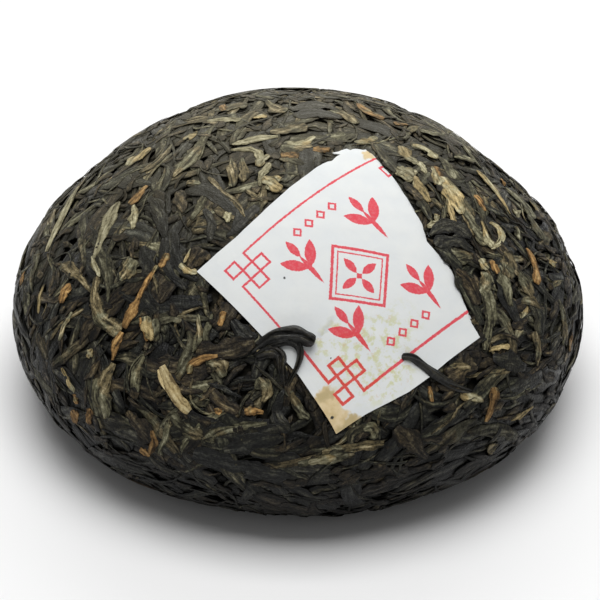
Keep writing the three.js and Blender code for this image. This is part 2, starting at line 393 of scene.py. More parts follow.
# %% New groups, materials and pieces
def new_group(name, inputs, outputs):
    """A shader node group with named sockets: itself, its desk, its inputs and its end."""
    group = bpy.data.node_groups.new(name, "ShaderNodeTree")
    for label, kind, value in inputs:
        socket = group.interface.new_socket(label, in_out="INPUT", socket_type=kind)
        if value is not None:
            socket.default_value = value
    for label in outputs:
        group.interface.new_socket(label, in_out="OUTPUT", socket_type="NodeSocketFloat")
    desk = Desk(group)
    return group, desk, desk.put("NodeGroupInput"), group.nodes.new("NodeGroupOutput")


def new_material(name):
    """A material with nothing in it, and its desk."""
    material = bpy.data.materials.new(name)
    material.use_nodes = True
    material.node_tree.nodes.clear()
    return material, Desk(material.node_tree)


def new_piece(name, mesh):
    """An object at the origin for a mesh. A bmesh is written to a mesh first, and freed."""
    if isinstance(mesh, bmesh.types.BMesh):
        shape, mesh = mesh, bpy.data.meshes.new(name)
        shape.to_mesh(mesh)
        shape.free()
    piece = bpy.data.objects.new(name, mesh)
    bpy.context.scene.collection.objects.link(piece)
    return piece


print("desk ready, with", len([name for name in vars(Desk) if name[0] != "_"]), "kinds of help")

# %% [markdown]
# ## What a dry leaf's surface does
# A rolled leaf is streaked along its length: fibres and folds catch light, the grooves between
# them stay dark, and the press rubs the crests paler. That light and shade is also painted into the
# colour, as painted highlight on the crests and painted shade in the grooves. One node group gives
# those streaks from the leaf's own UV map, whose U runs across the leaf and V along it, both in
# millimetres. Noise that is squeezed across the leaf and stretched along it makes fibres, and even
# noise makes wrinkles.

# %% Leaf streaks
# How far up a fold a point is, which paints highlight on crests and shade on the leaf's sides,
# how pale its leaf is, which of two colours, how much painted shade darkens its ends and edges,
# and how much of the pale dust and painted sheen of the cake's crown lies on it.
LEAF_ATTRIBUTES = ("crest", "tone", "hue", "rim_shade", "dust_and_sheen")
ALONG = 0.42  # scale of the pattern along the leaf, small so that it is drawn out in streaks
WANDER = 0.9  # how far the fibres stray to the side, in mm
streaks, desk, given, end = new_group(
    "leaf streaks",
    [
        ("UV", "NodeSocketVector", None),
        ("Fibres per mm", "NodeSocketFloat", 3.0),
        ("Crest", "NodeSocketFloat", 0.5),
        ("Dryness", "NodeSocketFloat", 0.5),
    ],
    ["Light", "Blotch", "Height"],
)
uv = given["UV"]
split = desk.put("ShaderNodeSeparateXYZ", {0: uv})
aside = split[0] + desk.noise(uv, 0.55) * WANDER
run = split[1] * ALONG
lane = aside * given["Fibres per mm"]


def drawn_out(across, detail=2.0, roughness=0.5):
    """Noise in streaks along the leaf."""
    at = desk.put("ShaderNodeCombineXYZ", {0: across, 1: run})
    return desk.noise(at, 1.0, detail, roughness)


fibre = drawn_out(lane, 3.0, 0.6)
fine_line = desk.ramp(abs(fibre - 0.5), 0.0, 0.085, 1.0, 0.0)
patch = drawn_out(aside * 1.1)
hair = drawn_out(lane * 2.3) - 0.5
wrinkle = desk.noise(uv, 2.4, 3.0, 0.6)
light = given["Crest"] * 0.55 + fine_line * 0.1 + (wrinkle - 0.5) * 0.9 + (patch - 0.45) * 1.2
light = light + hair * 0.8 + (given["Dryness"] - 0.5) * 0.4
desk.feed(end, {
    "Light": desk.math("MAXIMUM", desk.math("MINIMUM", light, 1.0), 0.0),
    "Blotch": desk.ramp(desk.noise(uv, 0.4, 3.0, 0.6), 0.36, 0.64),
    "Height": fibre + hair * 0.5 + wrinkle * 1.3,
})
print("group:", streaks.name)

# %% [markdown]
# ## A leaf's material
# All kinds of leaf share one way of being coloured and differ in their colours. A leaf goes from
# its groove's colour, a painted shade, over its body's to its crest's, partly a painted highlight,
# as the streaks get lighter, and each of the last two is one of a pair. How pale the whole leaf is
# multiplies that, because leaves differ more in how dark they are than in hue; that paleness
# carries painted light and shade as well, and painted shade darkens the leaf's ends and edges.
# The crown's dust and painted sheen come last, over everything.

# %% Leaf material
# Pale dust and painted sheen, mixed over the side of the crown that faces the lights.
DUST_AND_SHEEN_COLOUR, DUST_AND_SHEEN_SHARE = (0.128, 0.116, 0.078), 0.43
TONE_RANGE, TONE_LOW = 4.6, 0.45  # a pale leaf is this many times a dark one, which is this bright
LEAF_RELIEF = 0.17  # depth of the streaks, in mm


def leaf_material(name, groove, body, crest, other, other_crest, fibres=1.9, dryness=0.5, gloss=0.46,
                  shine=0.2):
    """Dry leaf: painted shade in its grooves, paler on its crests as wear and painted highlight, and of one
    colour here, another there.
    """
    material, desk = new_material(name)
    crest_at, tone, hue, rim_shade, dust_and_sheen = (
        desk.put("ShaderNodeAttribute", out="Fac", attribute_name=label) for label in LEAF_ATTRIBUTES
    )
    leaf_at = desk.put("ShaderNodeUVMap", uv_map="leaf")
    inputs = {"UV": leaf_at, "Crest": crest_at, "Fibres per mm": fibres, "Dryness": dryness}
    light = desk.put("ShaderNodeGroup", inputs, node_tree=streaks)
    turned = desk.ramp(hue + (light["Blotch"] - 0.5) * 0.6, 0.4, 0.85)
    middle, high = desk.mix(turned, body, other), desk.mix(turned, crest, other_crest)
    # Painted shade in the grooves and, on the crests, wear and painted highlight.
    colour = desk.mix(desk.ramp(light, 0.08, 0.55), groove, middle)
    colour = desk.mix(desk.ramp(light, 0.45, 1.0), colour, high)
    # Painted shade at the leaf's ends and edges darkens it further.
    shade = desk.math("POWER", TONE_RANGE, tone) * TONE_LOW * desk.ramp(rim_shade, 0.0, 1.0, 1.0, 0.3)
    shade = desk.put("ShaderNodeCombineColor", {0: shade, 1: shade, 2: shade})
    colour = desk.mix(1.0, colour, shade, "MULTIPLY")
    desk.surface({
        "Base Color": desk.mix(dust_and_sheen * DUST_AND_SHEEN_SHARE, colour, DUST_AND_SHEEN_COLOUR),
        "Roughness": desk.ramp(light, 0.1, 0.9, gloss + 0.2, gloss - 0.06),
        "Specular IOR Level": shine,
        "Normal": desk.bump(light["Height"], 0.8, LEAF_RELIEF * MM),
    })
    return material


print("attributes that a leaf carries:", ", ".join(LEAF_ATTRIBUTES))

# %% [markdown]
# ## One rolled leaf
# Each leaf is a closed tube with more points over its top than under it, because the underside
# is never seen. Around it run a few folds, and the folds drift from side to side along the leaf,
# as a twist does. The tube is modelled once, as a plain circle drawn out step by step, and its
# copies are bent into place as arrays: there are too many of them to model by hand.

# %% Template tube
def tube_template(stations, over, under):
    """A tube of rings with its ends closed, as (triangles and quads, points per ring)."""
    around = over + under
    tube = bmesh.new()
    bmesh.ops.create_circle(tube, cap_ends=True, segments=around, radius=1.0)
    rim = list(tube.edges)
    for step in range(1, stations):
        made = bmesh.ops.extrude_edge_only(tube, edges=rim)["geom"]
        ring = [v for v in made if isinstance(v, bmesh.types.BMVert)]
        bmesh.ops.translate(tube, verts=ring, vec=(0, 0, 1))
        rim = [e for e in made if isinstance(e, bmesh.types.BMEdge) and e.is_boundary]
    bmesh.ops.edgeloop_fill(tube, edges=rim)
    bmesh.ops.recalc_face_normals(tube, faces=tube.faces)
    tube.verts.ensure_lookup_table()
    step = [round(v.co.z) for v in tube.verts]
    turn = [round(math.atan2(v.co.y, v.co.x) / math.tau * around) % around for v in tube.verts]
    faces = [[v.index for v in f.verts] for f in tube.faces]
    tube.free()
    return {"step": np.array(step), "turn": np.array(turn), "faces": faces, "stations": stations,
            "over": over, "around": around}


def section(template):
    """Across (1 to -1) and height (0 to 1) of a section's points, most of them on top."""
    over, under = template["over"], template["around"] - template["over"]
    even = np.linspace(1, -1, over)
    top = 0.45 * even + 0.55 * np.sin(even * math.pi / 2)
    low = np.linspace(-1, 1, under + 2)[1:-1]
    top_height = 0.3 + 0.7 * np.maximum(1 - np.abs(top) ** 2.6, 0) ** 0.55
    low_height = 0.3 - 0.3 * np.sqrt(1 - low**2)
    return np.concatenate([top, low]), np.concatenate([top_height, low_height])


FINE = tube_template(stations=14, over=13, under=3)
MEDIUM = tube_template(stations=12, over=9, under=3)
COARSE = tube_template(stations=9, over=5, under=2)
print("faces of a leaf:", len(FINE["faces"]), "and of a shred:", len(COARSE["faces"]))

# %% [markdown]
# ## Where the leaves lie
# Leaves are spread by a spiral that gives each the same share of the surface, then nudged. Each
# one is walked over the surface in short steps and turns a little as it goes. On the crown they
# lie every way; round the widest ring the mould drags them level.

# %% Spread and walk
rng = np.random.default_rng(41)
NUDGE, NUDGE_TURN = 0.9, 0.03  # in mm along the line, and in radians
area = np.concatenate([[0], np.cumsum((line_r[1:] + line_r[:-1]) / 2 * np.diff(line_s))])


def spread(count, shift):
    """Evenly spread places, as arc length and turn."""
    share = (np.arange(count) + 0.5) / count * area[-1]
    s = np.interp(share, area, line_s) + rng.normal(0, NUDGE, count)
    turn = np.arange(count) * math.pi * (3 - math.sqrt(5)) + shift + rng.normal(0, NUDGE_TURN, count)
    return np.clip(s, 0.5, LENGTH - 0.5), turn


def walk(s, turn, heading, length, bend, sway, stations):
    """Stations of many leaves: arc lengths, points, normals and directions across."""
    point, normal = place(s, turn)
    level = np.stack([-np.sin(turn), np.cos(turn), 0 * turn], -1)
    along = turn_about(level, normal, heading)
    step = length / (stations - 1)
    slow, quick = rng.uniform(0, math.tau, (2, len(s)))
    rows = []
    for t in np.linspace(0, 1, stations):
        rows.append((s, point, normal, np.cross(normal, along)))
        s, point, normal = settle(point + along * step[:, None], s)
        swing = sway * (np.cos(slow + 6 * t) + np.cos(quick + 15 * t))
        along = turn_about(flatten(along, normal), normal, (bend + swing) * step)
    return [np.stack(column, 1) for column in zip(*rows)]


print("surface to cover, square mm:", round(math.tau * area[-1]))


# %% Lines through the picture
def smooth_line(knots, count):
    """Points of an even curve through the knots."""
    knots = np.array(knots, float)
    ends = np.concatenate([[2 * knots[0] - knots[1]], knots, [2 * knots[-1] - knots[-2]]])
    t = np.linspace(0, len(knots) - 1, count)
    k = np.minimum(t.astype(int), len(knots) - 2)
    f = (t - k)[:, None]
    before, start, end, after = (ends[k + i] for i in range(4))
    bend = 2 * before - 5 * start + 4 * end - after
    curl = 3 * start - before - 3 * end + after
    return start + 0.5 * ((end - before) * f + bend * f**2 + curl * f**3)


def through_picture(paths, stations, height=0.0):
    """The same four things for leaves that are drawn through spots in the picture."""
    spots = np.stack([smooth_line(path, stations) for path in paths])
    s, points, normals = from_picture(spots[..., 0], spots[..., 1], height)
    along = flatten(np.gradient(points, axis=1), normals)
    return [s, points, normals, np.cross(normals, along)]


# %% Headings
LEVEL_BAND, LEVELLED = 14.0, 0.72  # how wide the ring is where leaves lie level, and how much they do


def headings(s, turn):
    """Neighbours lie nearly alike: any way on the crown, nearly level round the widest ring."""
    point, _ = place(s, turn)
    drift = 1.6 * np.sin(point @ (0.11, 0.05, 0.07) + 1.0) + 1.5 * np.sin(point @ (-0.06, 0.13, 0.09) + 4.0)
    nearness = np.exp(-(((s - widest_s) / LEVEL_BAND) ** 2))
    own = rng.normal(0, 0.6, len(s))
    return (1 - LEVELLED * nearness) * (drift + own) + rng.integers(0, 2, len(s)) * math.pi


# %% [markdown]
# ## Laying and pressing
# A coarse height map of the cake remembers how high the stack is at every spot. Each leaf in turn
# finds the highest thing under it, lies on that, and raises the map by its own thickness. At the
# end one smooth rule turns stack height into depth under the mould's surface. The rule never
# swaps two heights, so no leaf is pushed through another, and whatever was highest ends up
# flattened against the mould, which is the look of pressed tea.

# %% Height map
CELL = 0.6
rings = int(LENGTH / CELL) + 1
ring_radius = on_line((np.arange(rings) + 0.5) * CELL)[0]
ring_cells = np.maximum(1, np.round(math.tau * ring_radius / CELL)).astype(int)
ring_start = np.concatenate([[0], np.cumsum(ring_cells)])
stack_height = np.zeros(ring_start[-1])
ACROSS = np.linspace(-1, 1, 7)
HUMP = 1 - 0.6 * ACROSS**2
SOFTEN = np.array([1, 2, 3, 2, 1]) / 9


def cells_at(s, points):
    """Cell numbers of points on the surface."""
    ring = np.clip((s / CELL).astype(int), 0, rings - 1)
    turn = np.arctan2(points[..., 1], points[..., 0]) / math.tau % 1.0
    return ring_start[ring] + np.minimum((turn * ring_cells[ring]).astype(int), ring_cells[ring] - 1)


def lay(batches):
    """Lays the leaves of some batches in one mixed order, each on what is already there."""
    jobs = []
    for leaves in batches:
        side = (leaves["half"][..., None] * ACROSS)[..., None] * leaves["across"][:, :, None]
        guess = np.repeat(leaves["s"][..., None], len(ACROSS), 2)
        s, near, _ = settle(leaves["point"][:, :, None] + side, guess)
        leaves["cells"] = cells_at(s, near)
        leaves["base"] = np.zeros(leaves["half"].shape)
        jobs += [(leaves, k) for k in range(len(s))]
    for number in rng.permutation(len(jobs)):
        leaves, k = jobs[number]
        under = leaves["cells"][k]
        ground = np.pad(stack_height[under].max(1), 2, mode="edge")
        leaves["base"][k] = np.convolve(ground, SOFTEN, "valid")
        top = leaves["base"][k] + 0.8 * leaves["thick"][k]
        np.maximum.at(stack_height, under, top[:, None] * HUMP + stack_height[under] * (1 - HUMP))


# %% The press
PRESS_SHARE = 0.31  # how much of the stack's height is left
PRESS_TOP = 0.28  # highest that anything comes over the mould's surface
PRESS_SOFTNESS = 0.14


def pressed(height, level):
    """Height over the mould's surface of something at this height in the stack."""
    gap = (level - height) * PRESS_SHARE
    return PRESS_TOP - PRESS_SOFTNESS * np.logaddexp(0, gap / PRESS_SOFTNESS)


print("cells:", len(stack_height))

# %% [markdown]
# ## A batch of leaves
# A batch is a set of arrays with one row for each leaf: where its stations lie, how wide and thick
# it is at each, how uneven its edges are, and how pale it is. Random numbers come from one seeded
# source, always in the same order, so the cake is the same on every run.

# %% Uneven lines and paleness
def waves(t, count, *strengths):
    """Uneven lines, one for each leaf, from a slow wave and quicker, weaker ones."""
    total = np.zeros((count, len(t)))
    for number, strength in enumerate(strengths):
        turns = rng.uniform(0.7, 1.4, (count, 1)) * 1.8**number
        total += strength * np.sin(math.tau * (turns * t + rng.random((count, 1))))
    return total


TOWARD_DUST_AND_LIGHT = np.array([-0.15, 0.45, 0.88])  # the side of the cake that is paler: rubbed and dusty, and painted light from the lamps above and behind
DARKEST, PALEST = -0.7, 1.15
BY_CHANCE, BY_PLACE, BY_RUBBING_AND_LIGHT, BY_UNDERSIDE_SHADE = 0.45, 0.12, 0.83, 0.45  # what makes a leaf pale or dark
TONE_SHIFT = -0.25


def rubbed_and_lit(normals):
    """From 0 on the side away from the lights and dust to 1 on the side that faces them: dust, and painted
    light.
    """
    return (0.5 + 0.5 * normals @ TOWARD_DUST_AND_LIGHT) ** 1.5


def overhung(normals):
    """From 0 where the surface looks up to 1 where it hangs over, for painted shade on the underside."""
    return eased(-normals[:, 2], -0.15, 0.4)


def leaf_tone(points, normals):
    """How pale each leaf is: partly chance, partly its neighbourhood, partly the side it lies on, as dust and
    painted light on the crown and painted shade under the overhang.
    """
    drift = np.sin(points @ (0.31, 0.2, 0.25) + 2.0) + np.sin(points @ (-0.22, 0.34, 0.3) + 5.0)
    tone = BY_CHANCE * rng.random(len(points)) + BY_PLACE * drift + BY_RUBBING_AND_LIGHT * rubbed_and_lit(normals)
    return np.clip(tone + TONE_SHIFT - BY_UNDERSIDE_SHADE * overhung(normals), DARKEST, PALEST)


# %% Batches of leaves
def batch(stations, width, thick, blunt=0.4, folds=0.7, ragged=1.15, faded=1.0, tone=None, hue=(0, 1),
          open_end=0.03, **more):
    """One dictionary of arrays for leaves that lie on the given stations."""
    s, point, normal, across = stations
    count, steps = s.shape
    t = np.linspace(0, 1, steps)
    taper = np.sin(math.pi * (open_end + (1 - 2 * open_end) * t)) ** blunt
    lopsided = 1 + 0.35 * rng.uniform(-1, 1, (count, 1)) * np.cos(math.pi * t)
    uneven = 1 + ragged * waves(t, count, 0.13, 0.11, 0.07)
    edge = ragged * waves(t, count, 0.1, 0.1, 0.08)
    middle = steps // 2
    if tone is None:
        tones = leaf_tone(point[:, middle], normal[:, middle])
    else:
        tones = rng.uniform(*tone, count)
    return {
        "s": s, "point": point, "normal": normal, "across": across,
        "half": np.asarray(width)[:, None] / 2 * taper * lopsided * uneven,
        "thick": np.asarray(thick)[:, None] * (0.35 + 0.65 * taper),
        "edge": edge, "folds": folds, "faded": faded, "tone": tones,
        "hue": rng.uniform(*hue, count),
        "seed": rng.uniform(0, 500, count),
        "phase": rng.uniform(0, math.tau, (count, 4)),
        "twist": rng.uniform(1.5, 5, count) * rng.choice([-1, 1], count),
        "ridges": rng.uniform(1.2, 2.6, count) * (0.75 + 0.12 * np.asarray(width)),
        **more,
    }


LONGEST_IN_HOLLOW = 9.0


def scattered(count, length, width, thick, bend=0.05, sway=0.06, template=FINE, shift=0.0, keep=None,
              **finish):
    """Leaves of random size, spread over the whole cake."""
    s, turn = spread(count, shift)
    if keep is not None:
        chosen = keep(s, turn)
        s, turn = s[chosen], turn[chosen]
    number = len(s)
    long = rng.uniform(*length, number)
    long = np.where(s > foot_s, np.minimum(long, LONGEST_IN_HOLLOW), long)
    bends, sways = rng.normal(0, bend, number), rng.uniform(0.2, 1, number) * sway
    stations = walk(s, turn, headings(s, turn), long, bends, sways, template["stations"])
    return batch(stations, rng.uniform(*width, number), rng.uniform(*thick, number), **finish)


# %% [markdown]
# ## From a batch to a mesh
# A template's points are moved to every leaf of a batch at once. Folds run along the leaf as a
# wave across its top, a lesser wave and a slow crumple, and the same numbers later tell the
# material where the crests are. Heights go through the press, and tea by the ticket is kept under
# the paper or, where it lies over the paper, on top of it.

# %% Shape of a batch
MAIN_FOLD, MINOR_FOLD, CRUMPLE = 0.6, 0.22, 0.18


def build(name, template, leaves, level, material):
    """The mesh of a batch, pressed to the mould's form."""
    x, y = section(template)
    step, turn = template["step"], template["turn"]
    aside, up_share = x[turn], y[turn]
    t = step / (template["stations"] - 1)
    phase, twist = leaves["phase"], leaves["twist"][:, None]
    ridges = leaves["ridges"][:, None]
    lane = ridges * (aside + 1) / 2 * math.pi + phase[:, :1] + twist * t
    main = np.abs(np.sin(lane + 0.5 * np.sin(4 * t + phase[:, 1:2])))
    minor = np.abs(np.sin(2.3 * lane + phase[:, 2:3] + 3 * t))
    crumple = 0.5 + 0.5 * np.cos(14 * t + phase[:, 3:] + 2.5 * aside)
    fold = MAIN_FOLD * main + MINOR_FOLD * minor + CRUMPLE * crumple
    on_top = np.clip((up_share - 0.3) / 0.7, 0, 1)
    rise = up_share - leaves["folds"] * on_top * (1 - fold)
    half, thick = leaves["half"][:, step], leaves["thick"][:, step]
    side = aside * (1 + leaves["edge"][:, step] * np.sign(aside)) * half
    spots = leaves["point"][:, step] + leaves["across"][:, step] * side[..., None]
    s, near, normal = settle(spots, leaves["s"][:, step])
    if "raised" in leaves:
        height = leaves["raised"][:, step] + thick * (rise - 0.5)
    else:
        height = pressed(leaves["base"][:, step] + thick * (rise - 0.2), level)
        height = fitted_to_ticket(near, height, thick * rise if leaves.get("over_ticket") else None)
    points = near + normal * height[..., None]
    points[..., 2] = np.maximum(points[..., 2], 0.0)
    # Crests paler as wear and painted highlight; the leaf's sides darker as painted shade.
    crest = np.clip(1.25 * fold - 0.12, 0, 1) * (0.25 + 0.75 * on_top**1.5)
    hue = leaves["hue"][:, None] + 0.3 * np.cos(5 * t + phase[:, 2:3])
    # Painted shade where the leaf's ends and edges dip under its neighbours.
    rim_shade = 1.2 * (1 - np.sin(math.pi * (0.04 + 0.92 * t)) ** 0.6) + 0.25 * np.abs(aside) ** 3
    rim_shade = np.broadcast_to(leaves["faded"] * rim_shade, hue.shape)
    spans = np.linalg.norm(np.diff(leaves["point"], axis=1), axis=-1).sum(1)[:, None]
    seed = leaves["seed"][:, None]
    uv = np.stack([side + seed, t * spans + 3 * seed], -1)
    tone = np.repeat(leaves["tone"][:, None], len(step), 1)
    # Dust and painted sheen on the side that faces the lights.
    dust_and_sheen = eased(normal @ TOWARD_DUST_AND_LIGHT, 0.45, 1.0)
    values = dict(zip(LEAF_ATTRIBUTES, (crest, tone, hue, rim_shade, dust_and_sheen)))
    return mesh_from_arrays(name, template, points, uv, values, material)


def fitted_to_ticket(points, height, over=None):
    """Heights of tea that stay under the paper, or for leaves that lie over it, on top of it."""
    u, v = ticket_place(points)
    front = (points @ ticket_normal) > (ticket_middle @ ticket_normal) - 14
    gap = edge_gap(u, v)
    paper = paper_height(u, v, gap)
    if over is not None:
        return np.maximum(height, paper + 0.1 + 0.6 * over - 1.5 * np.clip(gap, 0, 1))
    rise = np.where(u > COVERED_FROM, 5.0 * np.clip(gap, 0, 1), 2.0 * np.clip(gap - 0.15, 0, 1))
    return np.where(front, np.minimum(height, paper - 0.3 + rise), height)


# %% Joined copies
def mesh_from_arrays(name, template, points, uv, attributes, material):
    """Joins copies of the template, one for each row of points."""
    count, size = points.shape[:2]
    shift = (np.arange(count) * size)[:, None]
    quads = np.array([f for f in template["faces"] if len(f) == 4])
    caps = np.array([f for f in template["faces"] if len(f) != 4])
    loops = np.concatenate([(shift[..., None] + quads).reshape(-1), (shift[..., None] + caps).reshape(-1)])
    sizes = np.concatenate([np.full(count * len(quads), 4), np.full(count * len(caps), caps.shape[1])])
    starts = np.concatenate([[0], np.cumsum(sizes)[:-1]])
    mesh = bpy.data.meshes.new(name)
    mesh.vertices.add(count * size)
    mesh.vertices.foreach_set("co", (points * MM).astype(np.float32).ravel())
    mesh.loops.add(len(loops))
    mesh.loops.foreach_set("vertex_index", loops.astype(np.int32))
    mesh.polygons.add(len(sizes))
    mesh.polygons.foreach_set("loop_start", starts.astype(np.int32))
    mesh.polygons.foreach_set("use_smooth", np.ones(len(sizes), bool))
    mesh.update(calc_edges=True)
    layer = mesh.uv_layers.new(name="leaf")
    layer.data.foreach_set("uv", uv.reshape(-1, 2)[loops].astype(np.float32).ravel())
    for label, values in attributes.items():
        attribute = mesh.attributes.new(label, "FLOAT", "POINT")
        attribute.data.foreach_set("value", values.astype(np.float32).ravel())
    mesh.materials.append(material)
    mesh.validate()
    return new_piece(name, mesh)


# %% [markdown]
# ## Kinds of leaf
# The bulk is dark: charcoal leaves, green-black ones and brown ones. Between them lie paler olive
# leaves, golden buds, orange-brown stems and torn flakes of broad leaf, and thin shreds fill what
# is left. A kind is one mesh with one finish. A finish is a row of colours: groove, body, crest,
# the other body and its crest; the groove's colour is painted shade, and the crests' are partly
# painted highlight.

# %% Finishes
PALETTE = {
    "charcoal": ("charcoal leaf", (0.002, 0.002, 0.0013), (0.0128, 0.0134, 0.0108), (0.085, 0.085, 0.066),
                 (0.022, 0.0208, 0.0135), (0.15, 0.143, 0.098), {"gloss": 0.36, "shine": 0.22}),
    "green": ("green-black leaf", (0.003, 0.003, 0.0017), (0.022, 0.022, 0.013), (0.15, 0.146, 0.093),
              (0.04, 0.0355, 0.018), (0.24, 0.212, 0.125), {"gloss": 0.44}),
    "brown": ("brown leaf", (0.0035, 0.0026, 0.0015), (0.026, 0.0195, 0.0105), (0.14, 0.113, 0.062),
              (0.042, 0.0305, 0.0145), (0.22, 0.168, 0.086), {"gloss": 0.48}),
    "olive": ("olive leaf", (0.012, 0.0105, 0.0055), (0.095, 0.089, 0.05), (0.32, 0.304, 0.2),
              (0.12, 0.093, 0.044), (0.4, 0.335, 0.195), {"gloss": 0.56}),
    "pale": ("pale leaf", (0.06, 0.05, 0.024), (0.235, 0.213, 0.125), (0.47, 0.436, 0.29),
             (0.26, 0.194, 0.085), (0.5, 0.4, 0.205), {"dryness": 0.65, "gloss": 0.62}),
    "stem": ("orange-brown stem", (0.03, 0.017, 0.006), (0.2, 0.11, 0.036), (0.46, 0.285, 0.105),
             (0.12, 0.1, 0.045), (0.38, 0.32, 0.17), {"dryness": 0.6, "gloss": 0.6}),
    "straw": ("straw stem", (0.14, 0.1, 0.045), (0.42, 0.33, 0.165), (0.62, 0.53, 0.31),
              (0.36, 0.27, 0.12), (0.58, 0.46, 0.24), {"dryness": 0.7, "gloss": 0.65}),
    "strip": ("glossy black leaf", (0.0018, 0.0018, 0.0012), (0.008, 0.0075, 0.005), (0.05, 0.045, 0.028),
              (0.014, 0.0115, 0.007), (0.075, 0.066, 0.036), {"fibres": 1.4, "gloss": 0.3, "shine": 0.4}),
}
FINISH = {kind: leaf_material(*colours, **looks) for kind, (*colours, looks) in PALETTE.items()}
print("finishes:", ", ".join(FINISH))

# %% [markdown]
# ## Leaves that stand out
# The eye knows the cake by some hundred and fifty leaves: pale buds, orange-brown stems, broad
# dark leaves and a few curled ones. They are placed one by one, each through three or four spots in
# the picture, and the surface under those spots gives the third dimension.

# %% Spots in the picture
def picture_rows(kinds):
    """Leaves drawn in the picture, for each kind. Text gives a width in mm, then spots x,y, for each."""
    def row(leaf):
        width, *spots = leaf.split()
        return (float(width), *(tuple(map(int, spot.split(","))) for spot in spots))

    return {kind: [row(leaf) for leaf in text.split(";")] for kind, text in kinds.items()}


